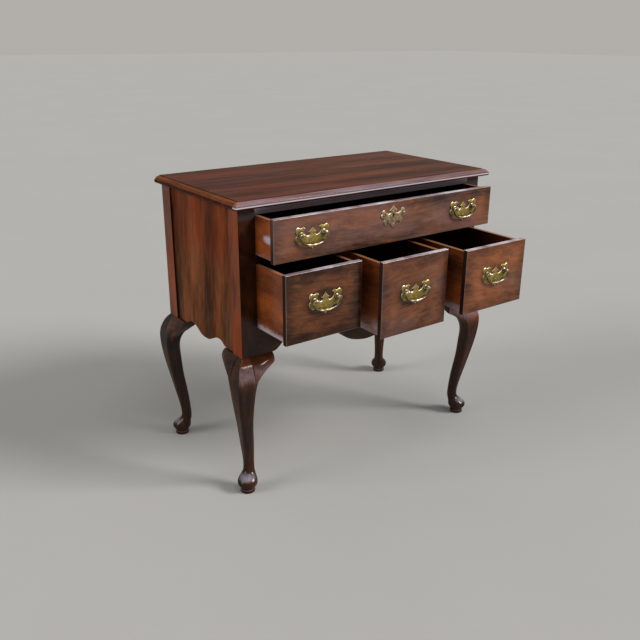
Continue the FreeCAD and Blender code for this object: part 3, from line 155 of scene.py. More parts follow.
class Finish:
    """The nodes of a material, or of the world, while they are laid out."""

    def __init__(self, owner):
        self.owner = owner
        owner.use_nodes = True
        self.tree = owner.node_tree
        self.tree.nodes.clear()

    def add(self, kind, settings=None, sockets=None, output=0):
        """One node: its settings are set first, then its sockets' values or links."""
        node = self.tree.nodes.new(kind)
        for name, value in (settings or {}).items():
            if name == "stops":
                self._set_stops(node.color_ramp, value)
            else:
                setattr(node, name, value)
        for name, value in (sockets or {}).items():
            if isinstance(value, Shade):
                self.tree.links.new(value.socket, node.inputs[name])
            else:
                node.inputs[name].default_value = value
        return Shade(self, node.outputs[output]) if node.outputs else None

    @staticmethod
    def _set_stops(ramp, stops):
        while len(ramp.elements) < len(stops):
            ramp.elements.new(1.0)
        for element, (place, colour) in zip(ramp.elements, stops):
            element.position = place
            element.color = (*colour, 1.0)

    def _split(self, vector):
        first = self.add("ShaderNodeSeparateXYZ", {}, {0: vector})
        return tuple(Shade(self, part) for part in first.socket.node.outputs)

    @cached_property
    def place(self):
        """Where a point lies, as its x, y and z in the object's own frame."""
        return self._split(self.add("ShaderNodeTexCoord", output="Object"))

    @cached_property
    def facing(self):
        """Which way the surface faces, as the x, y and z of its normal."""
        return self._split(self.add("ShaderNodeTexCoord", output="Normal"))

    def ramp(self, factor, stops):
        return self.add("ShaderNodeValToRGB", {"stops": stops}, {"Fac": factor})

    def mix(self, factor, first, second):
        first, second = (
            (*colour, 1.0) if isinstance(colour, tuple) else colour for colour in (first, second)
        )
        sockets = {0: factor, 6: first, 7: second}
        return self.add("ShaderNodeMix", {"data_type": "RGBA"}, sockets, output=2)

    def tinted(self, colour, factor, first, second):
        """The colour multiplied by a tint, which factor takes from first to second."""
        sockets = {0: colour, 1: self.mix(factor, first, second)}
        return self.add("ShaderNodeVectorMath", {"operation": "MULTIPLY"}, sockets)

    def noise(self, place, detail=2.0, roughness=0.5, distortion=0.0):
        """Smooth noise, from 0 to 1 with most of it near 0.5, one cell to a unit of place."""
        sockets = {
            "Vector": self.add("ShaderNodeCombineXYZ", {}, dict(enumerate(place))),
            "Scale": 1.0, "Detail": detail, "Roughness": roughness, "Distortion": distortion,
        }
        return self.add("ShaderNodeTexNoise", {}, sockets)

    def speckle(self, cells, detail, roughness):
        """Noise with so many cells to a metre in every direction."""
        return self.noise([part * cells for part in self.place], detail, roughness)

    def span(self, value, low, high, way="LINEAR"):
        """0 where value is low, 1 where it is high, and straight between."""
        settings = {"clamp": True, "interpolation_type": way}
        return self.add("ShaderNodeMapRange", settings, {0: value, 1: low, 2: high})

    def soft_span(self, value, low, high):
        """0 where value is low, 1 where it is high, and eased between."""
        return self.span(value, low, high, "SMOOTHSTEP")

    def close(self, sockets):
        """Ends a material in one shader, and gives it back."""
        shader = self.add("ShaderNodeBsdfPrincipled", {}, sockets)
        self.add("ShaderNodeOutputMaterial", {}, {"Surface": shader})
        return self.owner


# ---------- wood
# How light each step of a stained board is, from its darkest streak to its lightest, as
# shares of the stain's own colour.
STAIN_STEPS = [(0.0, 0.06), (0.25, 0.26), (0.5, 0.68), (0.75, 1.15), (1.0, 1.75)]

# How fine each kind of figure is, in cells to a metre: along the grain, and across it.
WARP = (1.3, 5.0)
CLOUDS = (4.0, 10.0)
TINTS = (5.5, 17.0)
SMUDGES = (7.0, 13.0)
RIPPLES = (6.0, 24.0)
MOTTLE = (20.0, 70.0)
SCUFFS = (55.0, 260.0)
FIBRES = (34.0, 900.0)
PORES = (120.0, 2300.0)

# The same for figure that follows the year rings: along the grain, out from the heart and
# across. Then how far a ring strays from a circle.
STREAKS = (2.6, 120.0, 7.0)
VEINS = (5.0, 430.0, 30.0)
RING_WANDER = 55 * MM

# Colours of grain, dirt and wear, and colours of painted light: painted shade, glare, sheen and
# highlights.
END_GRAIN = (0.014, 0.006, 0.006)
PORE = (0.014, 0.005, 0.004)
SCUFF = (0.26, 0.14, 0.09)
BLOOM_SHEEN = (0.16, 0.1, 0.105)
INNER_SHADE = (0.022, 0.009, 0.005)
SIDE_TOP = (0.42, 0.19, 0.1)
SIDE_GLARE = (0.5, 0.42, 0.46)
LIP_HIGHLIGHT = (0.3, 0.2, 0.14)
LIP_DARK_BAND = (0.28, 0.12, 0.07)
FAINT_SHEEN = (0.28, 0.2, 0.23)
BRIGHT_SHEEN = (0.88, 0.81, 0.87)
MOULD_SHEEN = (0.38, 0.29, 0.32)
END_MOULD_SHEEN = (0.36, 0.115, 0.03)
FILLET_SHEEN = (0.3, 0.22, 0.24)
FILLET_HIGHLIGHT = (0.75, 0.68, 0.72)
RAIL_SHEEN_LOW = (0.09, 0.07, 0.085)
RAIL_SHEEN_HIGH = (0.75, 0.66, 0.75)
KNEE_SHEEN = (0.32, 0.26, 0.31)
POST_CROWN_GREY = (0.05, 0.038, 0.045)
TOE_HIGHLIGHT = (0.55, 0.5, 0.58)

# What a stain is multiplied by where light or a glaze has changed it.
NO_TINT = (1.0, 1.0, 1.0)
TOP_TINT = (0.94, 0.7, 0.66)
LIT_POST_TINT = (1.3, 0.86, 0.25)
PANEL_FOOT_TINT = (1.02, 1.18, 1.25)
PANEL_HEAD_TINT = (1.0, 0.64, 0.32)


@dataclass
class Board:
    """How a piece was cut from the log: its grain's direction and where the heart lay.

    The heart leans across the board by tilt, and start is how far up the log it was cut.
    """

    grain: str
    heart: tuple
    tilt: tuple = (0.03, 0.02)
    start: float = 0.0

    def place(self, finish):
        """Distance along the log, and the two distances across it from its heart."""
        parts = list(finish.place)
        along = parts.pop("xyz".index(self.grain)) + self.start
        across = [
            part - centre + along * tilt
            for part, centre, tilt in zip(parts, self.heart, self.tilt)
        ]
        return along, across[0], across[1]


@dataclass
class Look:
    """How a board was stained and varnished, and how its figure shows.

    Tone is how light it is and warm how much of it has the warm stain. Clouds are drawn out
    along the grain and narrow across it. Shift changes the tone from place to place, in some
    pieces as painted light, and cover lays a piece's own wear and painted light over the stain.
    """

    tone: float = 0.0
    warm: float = 0.5
    clouds: float = 1.0
    narrow: float = 1.0
    drawn: float = 1.0
    mottle: float = 1.0
    streaks: float = 1.0
    varnish: float = 0.5
    bloom_sheen: float = 0.0
    end_dark: float = 0.6
    shift: object = None
    cover: object = None


class Grain:
    """The grain of one board in a finish, with the marks that every board bears."""

    def __init__(self, finish, board, look):
        self.finish = finish
        self.look = look
        self.along, self.wide, self.deep = board.place(finish)
        wander = (self.noise(WARP, detail=1.0) - 0.5) * RING_WANDER
        self.radius = distance(self.wide, self.deep) + wander
        self.cloud = self.noise(CLOUDS, look.drawn, look.narrow, detail=3.0, distortion=0.3)
        self.fibre = self.noise(FIBRES, detail=2.0)
        self.pore = finish.soft_span(self.noise(PORES, detail=1.0), 0.6, 0.72)
        self.smudge = self.noise(SMUDGES, detail=3.0)
        scuff = self.noise(SCUFFS, detail=3.0, roughness=0.7)
        handled = finish.soft_span(self.smudge, 0.5, 0.66)
        self.scuffed = finish.soft_span(scuff, 0.66, 0.78) * handled
        endwise = finish.facing["xyz".index(board.grain)].size()
        self.end = finish.soft_span(endwise, 0.8, 0.97)

    def noise(self, cells, drawn=1.0, narrow=1.0, **character):
        """Noise whose cells are drawn out along the board and narrowed across it."""
        lengthwise, crosswise = cells[0] / drawn, cells[1] * narrow
        place = self.along * lengthwise, self.wide * crosswise, self.deep * crosswise
        return self.finish.noise(place, **character)

    def ring_noise(self, cells, **character):
        """Noise that follows the year rings."""
        place = (self.along, self.radius, self.wide)
        return self.finish.noise([part * n for part, n in zip(place, cells)], **character)

    def depth(self):
        """How light the stain took, from 0 in the darkest streaks to 1."""
        finish, look = self.finish, self.look
        mottle = self.noise(MOTTLE, look.drawn, detail=4.0, roughness=0.6, distortion=0.6)
        streak = self.ring_noise(STREAKS, detail=4.0, roughness=0.62)
        line = finish.soft_span(self.ring_noise(VEINS, detail=2.0), 0.54, 0.68)
        vein = line * finish.soft_span(self.cloud, 0.62, 0.4)
        depth = (
            (self.cloud - 0.5) * (1.25 * look.clouds) + (mottle - 0.5) * (0.75 * look.mottle)
            + (streak - 0.5) * (0.6 * look.streaks) - vein * (0.26 * look.streaks)
            + (self.fibre - 0.5) * 0.25 + (0.52 + look.tone)
        )
        return depth + look.shift(finish) if look.shift else depth

    def stained(self, warm, cool):
        """The colour of the stained board, warm in some places and cool in others."""
        depth = self.depth()
        tint = self.noise(TINTS, narrow=self.look.narrow, detail=3.0, distortion=0.4)
        warmth = self.finish.soft_span(tint + (self.look.warm - 0.5), 0.4, 0.6)
        cool, warm = (
            self.finish.ramp(depth, [
                (place, tuple(level * part for part in stain)) for place, level in STAIN_STEPS
            ])
            for stain in (cool, warm)
        )
        return self.finish.mix(warmth, cool, warm)

    def used(self, colour, wear):
        """The colour after years of use: dirt in the grain, scuffs, cloudy lilac patches that
        are partly a dulled finish and partly a painted reflection, and the piece's own cover of
        wear and painted light.
        """
        finish, look = self.finish, self.look
        colour = finish.mix(self.end * look.end_dark, colour, END_GRAIN)
        colour = finish.mix(self.pore * 0.5, colour, PORE)
        colour = finish.mix(self.scuffed * (0.6 * wear), colour, SCUFF)
        # Cloudy lilac patches: a dulled finish that also paints a reflection of the
        # surroundings.
        if look.bloom_sheen:
            bloom_sheen_mask = finish.soft_span(self.smudge + (self.cloud - 0.5) * 0.5, 0.36, 0.66)
            colour = finish.mix(bloom_sheen_mask * look.bloom_sheen, colour, BLOOM_SHEEN)
        return look.cover(finish, colour, self.smudge) if look.cover else colour


def wood(name, board, look, stock):
    """Varnished wood, cut from one log and stained as its kind of stock is."""
    settings = bpy.context.scene.lowboy_wood
    warm, cool = (tuple(getattr(settings, f"{stock}_{part}")) for part in ("stain", "shade"))
    finish = Finish(bpy.data.materials.new(name))
    grain = Grain(finish, board, look)
    colour = grain.used(grain.stained(warm, cool), settings.wear)
    relief = grain.noise(RIPPLES, detail=1.0) * 2.4 + grain.fibre * 0.1
    relief = relief - grain.pore * 0.14 - grain.scuffed * 0.06
    rounded = finish.add("ShaderNodeBevel", {"samples": 4}, {"Radius": settings.arris})
    bump = finish.add("ShaderNodeBump", {}, {
        "Strength": 0.55, "Distance": settings.relief, "Height": relief, "Normal": rounded,
    })
    dulled = finish.soft_span(grain.smudge, 0.42, 0.66) * 0.35 + grain.scuffed * 0.4
    return finish.close({
        "Base Color": colour,
        "Roughness": 0.55 + (grain.smudge - 0.5) * 0.3 + grain.pore * 0.12,
        "Specular IOR Level": 0.03,
        "Coat Weight": look.varnish * (1.0 - dulled) * (1.0 - grain.end * 0.8),
        "Coat Roughness": settings.varnish_roughness,
        "Coat IOR": 1.5,
        "Normal": bump,
    })


# ---------- tone and wear of the wood
def middle_and_half(node):
    """The middle of a node's box, and half its size."""
    low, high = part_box(node)
    return (low + high) / 2, (high - low) / 2


def toned_and_lit_front(node, plates, depth, lean):
    """A drawer front that was left darker towards its edges, and darker round its brass plates:
    grime that also stands in for the plates' painted shadow.

    It is painted lighter by lean at its right end than at its middle, as light falling from the
    right.
    """
    def shift(finish):
        across, _, up = finish.place
        middle, half = middle_and_half(node)
        from_end = half.x - (across - middle.x).size()
        from_edge = half.z - (up - middle.z).size()
        rim = finish.soft_span(from_end.least(from_edge), 3 * MM, 42 * MM) - 1.0
        # Painted light: lighter towards the right end.
        shade = rim * depth + (across - middle.x) * (lean / half.x)
        # Darker round each plate: grime, and painted shadow of the plate.
        for plate in plates:
            middle, half = middle_and_half(plate)
            away = distance((across - middle.x) * (1 / half.x), (up - middle.z) * (1 / half.z))
            shade = shade - finish.soft_span(away, 1.4, 0.85) * 0.2
        return shade
    return shift


def front_highlights(finish, colour, smudge):
    """Painted light on a drawer front: a painted lilac-white reflection on its upward-facing top
    edge, browner on the lip's flat top, and a thin painted highlight round its face.
    """
    across, _, height = finish.place
    _, out, up = finish.facing
    turned = finish.soft_span(out.size(), 0.1, 0.45) * finish.soft_span(out.size(), 0.99, 0.85)
    # A thin painted highlight on the rounded arrises.
    colour = finish.mix(turned * 0.55, colour, LIP_HIGHLIGHT)
    # A painted lilac-white reflection, patchy along the lip and browner on its flat top.
    gleam = finish.noise((across * 13.0, height * 4.0, height * 4.0), detail=3.0)
    sheen_colour = finish.mix(finish.span(gleam, 0.4, 0.62), FAINT_SHEEN, BRIGHT_SHEEN)
    sheen_gap = finish.soft_span(up, 0.8, 0.88) * finish.soft_span(up, 0.9995, 0.98)
    sheen_colour = finish.mix(sheen_gap * 0.6, sheen_colour, LIP_DARK_BAND)
    sheen_mask = finish.soft_span(up, 0.25, 0.75) * finish.span(smudge, 0.22, 0.6)
    return finish.mix(sheen_mask * 0.9, colour, sheen_colour)


def mould_sheen(finish, colour, smudge):
    """The top, redder to the left, with a painted lilac sheen on its front moulding, a painted
    highlight along the lower part of its fillet, and a painted warm sheen on the mouldings at
    its ends.
    """
    low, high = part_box("top_board")
    across, back, height = finish.place
    up = finish.facing[2]
    upward = finish.soft_span(up, 0.05, 0.4)
    colour = finish.tinted(colour, finish.soft_span(across, 0.2, -0.35), NO_TINT, TOP_TINT)

    inset = back - (low.y + MOULD_WIDTH)
    front = finish.soft_span(inset, -0.1 * MM, -1.2 * MM)
    above_head = height - (low.z + FILLET_HEAD)
    above_foot = height - (low.z + FILLET_FOOT)
    # Painted sheen on the upward faces of the front moulding, dimmed at the quirk.
    sheen_amount = finish.noise((across * 9.0, back * 620.0, height * 620.0), detail=3.0)
    sheen_amount = finish.span(sheen_amount + (smudge - 0.5) * 0.5, 0.36, 0.62)
    quirk = finish.soft_span(above_head, 0.7 * MM, 0.2 * MM)
    sheen = front * upward * (0.16 + sheen_amount * 0.4) * (1.0 - quirk * 0.7)
    colour = finish.mix(sheen, colour, MOULD_SHEEN)

    # Painted sheen on the fillet's upper part, and a painted highlight on its lower part.
    fillet = front * (1.0 - upward) * finish.soft_span(above_head, 0.3 * MM, 0.1 * MM)
    fillet = fillet * finish.soft_span(above_foot, -0.6 * MM, 0.2 * MM)
    upper = finish.soft_span(above_foot, 1.6 * MM, 3.0 * MM)
    colour = finish.mix(fillet * upper * 0.6, colour, FILLET_SHEEN)
    colour = finish.mix(fillet * (1.0 - upper) * 0.85, colour, FILLET_HIGHLIGHT)

    # Painted warm sheen in streaks on the upward faces of the end mouldings.
    outset = across.size() - (high.x - MOULD_WIDTH)
    ends = finish.soft_span(outset, 0.1 * MM, 1.2 * MM)
    sheen_amount = finish.noise((across * 620.0, back * 9.0, height * 620.0), detail=3.0)
    return finish.mix(ends * upward * finish.span(sheen_amount, 0.4, 0.62) * 0.6, colour, END_MOULD_SHEEN)


def side_shade_and_glare(node, inward, run, patch):
    """Painted light on a drawer's side: painted shade where it faces into the drawer, and
    painted glare.

    Inward is that way along x. The side has painted glare up to run above its lower edge and is
    light along its top edge. A patch of painted glare, by its strength, is a cloudy place half
    way up behind the lip.
    """
    def cover(finish, colour, smudge):
        low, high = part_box(node)
        across, back, height = finish.place
        side, _, up = finish.facing
        # Painted shade on the faces that look into the drawer.
        shaded_inside = finish.soft_span(side * inward, 0.5, 0.9)
        colour = finish.mix(shaded_inside * 0.85, colour, INNER_SHADE)
        colour = finish.mix(finish.soft_span(up, 0.5, 0.9) * 0.7, colour, SIDE_TOP)
        grit = finish.noise((back * 90.0, across * 300.0, height * 260.0), detail=4.0,
                            roughness=0.7)
        # Painted glare along the lower edge, and in a patch behind the lip.
        ragged = height + (smudge - 0.5) * 0.1 + (grit - 0.5) * 0.03
        sheen_amount = finish.soft_span(ragged, low.z + run, low.z + run - 24 * MM)
        if patch:
            behind = (back - (low.y + 12 * MM)) * 0.4
            away = distance(behind, height - (low.z + high.z) / 2) + (grit - 0.5) * 0.01
            sheen_amount = sheen_amount + finish.soft_span(away, 14 * MM, 4 * MM) * patch
        return finish.mix(sheen_amount * 0.7, colour, SIDE_GLARE)
    return cover


def painted_leg_light(knee_light):
    """Painted light on a leg: its post's outer side, and the front of its knee by the strength
    given, are painted lighter than the leg.
    """
    def shift(finish):
        low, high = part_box("front_knee_blocks")
        height = finish.place[2]
        side, back, _ = finish.facing
        post = finish.soft_span(height, high.z - 2 * MM, high.z + 2 * MM)
        outer = finish.soft_span(side.size(), 0.8, 0.95) * post * 0.44
        knee = finish.soft_span(height, low.z - 4 * MM, low.z + 45 * MM) * (1.0 - post)
        return outer + knee * finish.soft_span(back, 0.1, -0.55) * knee_light
    return shift


def leg_sheen(finish, colour, smudge):
    """Painted light on a leg: painted sheen on its knee, a painted highlight on its toe and a
    lighter orange painted on its post's sides, and a dark grey band on its post's front close
    under the top.
    """
    low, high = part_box("front_knee_blocks")
    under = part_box("top_board")[0].z
    across, deep, height = finish.place
    side, back, up = finish.facing
    # Painted sheen across the front of the knee.
    hairs = finish.noise((across * 300.0, deep * 300.0, height * 20.0), detail=2.0)
    away = (height - (low.z + 46 * MM)).size() + (smudge - 0.5) * 0.04
    knee = finish.soft_span(away, 26 * MM, 4 * MM) * finish.soft_span(back, -0.3, -0.75)
    colour = finish.mix(knee * finish.span(hairs, 0.25, 0.6) * 0.42, colour, KNEE_SHEEN)
    # A dark grey band on the post's front close under the top.
    crown = finish.soft_span(height, under - 35 * MM, under - 21 * MM)
    crown = crown * finish.soft_span(back, -0.5, -0.8)
    colour = finish.mix(crown * 0.75, colour, POST_CROWN_GREY)
    # Painted light: the post's sides tinted a lighter orange.
    post = finish.soft_span(height, high.z - 6 * MM, high.z + 4 * MM)
    post = post * finish.soft_span(side.size(), 0.6, 0.9)
    colour = finish.tinted(colour, post, NO_TINT, LIT_POST_TINT)
    # A painted highlight on the top of the toe.
    toe = finish.soft_span(height, 60 * MM, 35 * MM) * finish.soft_span(up, 0.5, 0.9)
    return finish.mix(toe * 0.5, colour, TOE_HIGHLIGHT)


def paler_above(finish):
    """An end panel that the light has bleached towards its top."""
    low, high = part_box("left_side_panel")
    height = finish.place[2]
    return (finish.soft_span(height, low.z + 100 * MM, high.z - 80 * MM) - 0.5) * 0.14


def glazed_above(finish, colour, smudge):
    """A red glaze on the upper part of an end panel, rubbed thin to browner wood below."""
    low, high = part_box("left_side_panel")
    above = finish.soft_span(finish.place[2], low.z + 180 * MM, high.z - 100 * MM)
    above = above * (0.6 + 0.4 * finish.span(smudge, 0.25, 0.65))
    return finish.tinted(colour, above, PANEL_FOOT_TINT, PANEL_HEAD_TINT)


def rail_sheen(finish, colour, smudge):
    """A painted grey-lilac sheen on the top rail, paler close under the top, where it also
    lightens the shadow that the top's overhang casts.
    """
    low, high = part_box("top_rail")
    close = finish.soft_span(finish.place[2], low.z + 2 * MM, high.z - 4 * MM)
    sheen = finish.mix(close, RAIL_SHEEN_LOW, RAIL_SHEEN_HIGH)
    return finish.mix(finish.span(smudge, 0.1, 0.7) * 0.35 + 0.5, colour, sheen)


# ---------- metal
# The colour of the dirt in pits and corners, also laid on as painted shade, and the rubbed and
# the tarnished colours of the metals that the panel doesn't list. The plates' edges are dark as
# painted shade.
GRIME_AND_SHADE = (0.045, 0.034, 0.014)
SHADED_PLATE_EDGE = (0.1, 0.066, 0.03), (0.035, 0.022, 0.012)
SCREW_STEEL = (0.42, 0.42, 0.43), (0.24, 0.23, 0.22)
BOLT_STEEL = (0.46, 0.46, 0.47), (0.3, 0.29, 0.28)


def brass_colours(kind):
    """The rubbed and the tarnished colour of a kind of brass."""
    settings = bpy.context.scene.lowboy_brass
    return tuple(tuple(getattr(settings, f"{kind}_{part}")) for part in ("bright", "dull"))


def metal(name, colours, shine, tarnish, dark_places=None):
    """Cast metal, rubbed bright in places and tarnished in others, and darker where its dark
    places lie: grime, and on some faces painted shade.

    Shine is how smooth it was polished, and tarnish is how dark its pits are.
    """
    finish = Finish(bpy.data.materials.new(name))
    blotch = finish.speckle(110.0, detail=3.0, roughness=0.6)
    grit = finish.speckle(800.0, detail=3.0, roughness=0.65)
    age = finish.span(blotch + (grit - 0.5) * 0.5, 0.34, 0.62)
    dark = finish.soft_span(grit, 0.56, 0.7) * tarnish
    # Dark places: grime, tarnish and painted shade, as each piece gives them.
    if dark_places:
        dark = 1.0 - (1.0 - dark) * (1.0 - dark_places(finish) * 0.8)
    bump = finish.add("ShaderNodeBump", {}, {
        "Strength": 0.5, "Distance": 0.12 * MM, "Height": grit * 0.6 + blotch,
    })
    return finish.close({
        "Base Color": finish.mix(dark, finish.mix(age, *colours), GRIME_AND_SHADE),
        "Metallic": 1.0,
        "Roughness": (0.58 - 0.4 * shine) + age * 0.14 + dark * 0.2,
        "Normal": bump,
    })


def shaded_bevels(finish):
    """Painted shade on a rim: the bevels that face down and to the left."""
    side, _, up = finish.facing
    return finish.soft_span(side * -0.8 - up * 0.6, 0.05, 0.55)


def pitted(finish):
    """Small dark pits all over a face that is seldom polished."""
    return finish.soft_span(finish.speckle(380.0, detail=2.0, roughness=0.5), 0.55, 0.66) * 0.75


def arms_of(plate):
    """The arms of a bail, between the posts and the grip: tarnish where no hand rubs them, and
    painted shade for the dark that the arms reflect.
    """
    def dark_places(finish):
        across, _, height = finish.place
        middle, half = middle_and_half(plate)
        arm = finish.soft_span((across - middle.x).size(), 18 * MM, 26 * MM)
        below = height - (middle.z + half.z)
        return arm * finish.soft_span(below, -22 * MM, -28 * MM)
    return dark_places


def round_the_posts(finish):
    """Close round a pull plate's two posts: tarnish where polish never reaches, and painted
    shadow of the bail's arms as well.
    """
    across, _, height = finish.place
    away = distance(across.size() - POST_SPREAD / 2, height - POST_RISE)
    return finish.soft_span(away, 10.5 * MM, 6.5 * MM)


# ---------- meshes
FIELD, RIM, EDGE = 0, 1, 2


def stood_up(name, data):
    """A new object of the scene, made from its data."""
    piece = bpy.data.objects.new(name, data)
    bpy.context.scene.collection.objects.link(piece)
    return piece


def arc_points(start, middle, end, steps):
    """Points along the arc through three points, from start up to but not at its end."""
    (ax, ay), (bx, by), (cx, cy) = start, middle, end
    cross = 2 * (ax * (by - cy) + bx * (cy - ay) + cx * (ay - by))
    squares = [x * x + y * y for x, y in (start, middle, end)]
    ux = (squares[0] * (by - cy) + squares[1] * (cy - ay) + squares[2] * (ay - by)) / cross
    uy = (squares[0] * (cx - bx) + squares[1] * (ax - cx) + squares[2] * (bx - ax)) / cross
    radius = math.hypot(ax - ux, ay - uy)
    first, through, last = (math.atan2(y - uy, x - ux) for x, y in (start, middle, end))
    turn = (last - first) % (2 * math.pi)
    if (through - first) % (2 * math.pi) > turn:
        turn -= 2 * math.pi
    turns = [first + turn * n / steps for n in range(steps)]
    return [(ux + radius * math.cos(a), uy + radius * math.sin(a)) for a in turns]


def outline_points(chain, steps=7):
    """The whole outline of a plate, clockwise, the left half the mirror of the right."""
    arcs = zip(chain[0::2], chain[1::2], chain[2::2])
    right = [point for arc in arcs for point in arc_points(*arc, steps)]
    left = [(-x, y) for x, y in reversed(right[1:])]
    return [*right, chain[-1], *left]


def drawn_in(points, inset):
    """The outline moved inward by inset, with the points at sharp corners kept short."""
    count = len(points)
    moved = []
    for n, point in enumerate(points):
        here = Vector(point)
        one = (here - Vector(points[n - 1])).normalized()
        two = (Vector(points[(n + 1) % count]) - here).normalized()
        inward = Vector((one.y, -one.x))
        middle = (inward + Vector((two.y, -two.x))).normalized()
        stretch = 1.0 / max(middle.dot(inward), 1 / LONGEST_MITRE)
        moved.append(tuple(here + middle * inset * stretch))
    return moved


def circle_points(x, z, radius, count=20):
    turns = [2 * math.pi * n / count for n in range(count)]
    return [(x + radius * math.cos(turn), z - radius * math.sin(turn)) for turn in turns]


def keyhole_points(x, z, eye, slot, drop, steps=18):
    """A round eye over a narrow slot, as one closed loop."""
    half = slot / 2
    start = math.asin(half / eye)
    sweep = 2 * (math.pi - start)
    turns = [start + sweep * n / steps for n in range(steps + 1)]
    loop = [(x + eye * math.sin(turn), z - eye * math.cos(turn)) for turn in turns]
    return [*loop, (x - half, z - drop), (x + half, z - drop)]


def plate_mesh(name, outline, holes, thickness, bevel):
    """A plate that stands on y = 0, with faces for its field, its bevelled rim and its edge."""
    shape = bmesh.new()

    def ring(points, forward):
        return [shape.verts.new((x, -forward, z)) for x, z in points]

    def band(first, second, number):
        for n in range(len(first)):
            corners = (first[n - 1], first[n], second[n], second[n - 1])
            shape.faces.new(corners).material_index = number

    def edges_of(loop):
        return [shape.edges.get((loop[n - 1], loop[n])) for n in range(len(loop))]

    back = ring(outline, 0.0)
    shoulder, crest, front = (
        ring(drawn_in(outline, inward * bevel), thickness - backward * bevel)
        for inward, backward in BEVEL_RINGS
    )
    band(back, shoulder, EDGE)
    band(shoulder, crest, RIM)
    band(crest, front, RIM)
    back_edges, front_edges = edges_of(back), edges_of(front)
    for hole in holes:
        near, far = ring(hole, 0.0), ring(hole, thickness)
        band(near, far, FIELD)
        back_edges += edges_of(near)
        front_edges += edges_of(far)
    for edges in (back_edges, front_edges):
        bmesh.ops.triangle_fill(shape, use_beauty=True, edges=edges)
    bmesh.ops.recalc_face_normals(shape, faces=shape.faces)
    mesh = bpy.data.meshes.new(name)
    shape.to_mesh(mesh)
    shape.free()
    mesh.shade_smooth()
    mesh.set_sharp_from_angle(angle=math.radians(30))
    return mesh


# ---------- camera and lights
# Each light: how far round it stands, from 0 in front and growing to the right, how high and
# how wide it looks, all in degrees, and its colour.
LIGHTS = {
    "key": (41, 32, 20, (0.97, 0.98, 1.0)),
    "side": (-103, 26, 30, (1.0, 0.98, 0.96)),
    "high": (5, 68, 26, (0.93, 0.96, 1.0)),
}
SENSOR_WIDTH = 36.0
FLOOR_REACH = 40.0
FLOOR_DROP = 0.3 * MM


def toward(around, up):
    """The direction of what stands so far round and so high, seen from the lowboy."""
    level = math.cos(up)
    return Vector((math.sin(around) * level, -math.cos(around) * level, math.sin(up)))


def place_camera(settings):
    """Stands the camera up, levelled and then leaned to the side by its roll."""
    data = bpy.data.cameras.new("camera")
    data.sensor_fit = "HORIZONTAL"
    data.sensor_width = SENSOR_WIDTH
    data.lens = settings.lens
    camera = stood_up("camera", data)
    back = toward(settings.azimuth, settings.elevation)
    right = Vector((math.cos(settings.azimuth), math.sin(settings.azimuth), 0.0))
    turn = Matrix((right, back.cross(right), back)).transposed()
    roll = Matrix.Rotation(settings.roll, 3, "Z")
    camera.matrix_world = Matrix.Translation(settings.camera_place) @ (turn @ roll).to_4x4()
    bpy.context.scene.camera = camera


def sun(name, strength, around, up, width, colour):
    """A broad soft light from far off."""
    data = bpy.data.lights.new(name, "SUN")
    data.angle = math.radians(width)
    data.energy = strength
    data.color = colour
    direction = toward(math.radians(around), math.radians(up))
    stood_up(name, data).rotation_euler = direction.to_track_quat("Z", "Y").to_euler()


# ---------- properties
def colour_property(name, description, default):
    return bpy.props.FloatVectorProperty(
        name=name, description=description, subtype="COLOR", default=default, min=0.0, max=1.0,
    )


def number_property(name, description, default, **limits):
    return bpy.props.FloatProperty(name=name, description=description, default=default, **limits)


def share_property(name, description, default):
    return number_property(name, description, default, subtype="FACTOR", min=0.0, max=1.0)


def length_property(name, description, default):
    return number_property(name, description, default, subtype="DISTANCE", unit="LENGTH",
                           min=0.0, precision=5)


def angle_property(name, description, degrees):
    return number_property(name, description, math.radians(degrees), subtype="ANGLE",
                           unit="ROTATION")


class LowboyWoodSettings(PropertyGroup):
    case_stain: colour_property(
        "Warm Stain", "The orange brown of the front's figure", (0.18, 0.056, 0.019)
    )
    case_shade: colour_property(
        "Cool Stain", "The purple brown of the front's figure", (0.14, 0.06, 0.036)
    )
    end_stain: colour_property(
        "End Stain", "The orange of the top, the ends and the legs", (0.2, 0.052, 0.015)
    )
    end_shade: colour_property(
        "End Shade", "The duller parts of the top, the ends and the legs", (0.15, 0.056, 0.028)
    )
    box_stain: colour_property(
        "Drawer Boxes", "The stain of the drawers' boxes", (0.27, 0.064, 0.015)
    )
    box_shade: colour_property(
        "Drawer Box Shade", "The duller parts of the drawers' boxes", (0.21, 0.055, 0.018)
    )
    plain_stain: colour_property(
        "Plain Stock", "The unstained wood of the back and the runners", (0.19, 0.105, 0.055)
    )
    plain_shade: colour_property(
        "Plain Stock Shade", "The greyer parts of the unstained wood", (0.15, 0.09, 0.058)
    )
    varnish_roughness: share_property(
        "Varnish Roughness", "How much the varnish blurs what it reflects", 0.14
    )
    wear: share_property("Wear", "How strongly small scuffs show", 0.5)
    arris: length_property("Arris", "Radius to which sharp edges were sanded", 0.7 * MM)
    relief: length_property("Relief", "Depth of the grain and the ripples", 0.35 * MM)


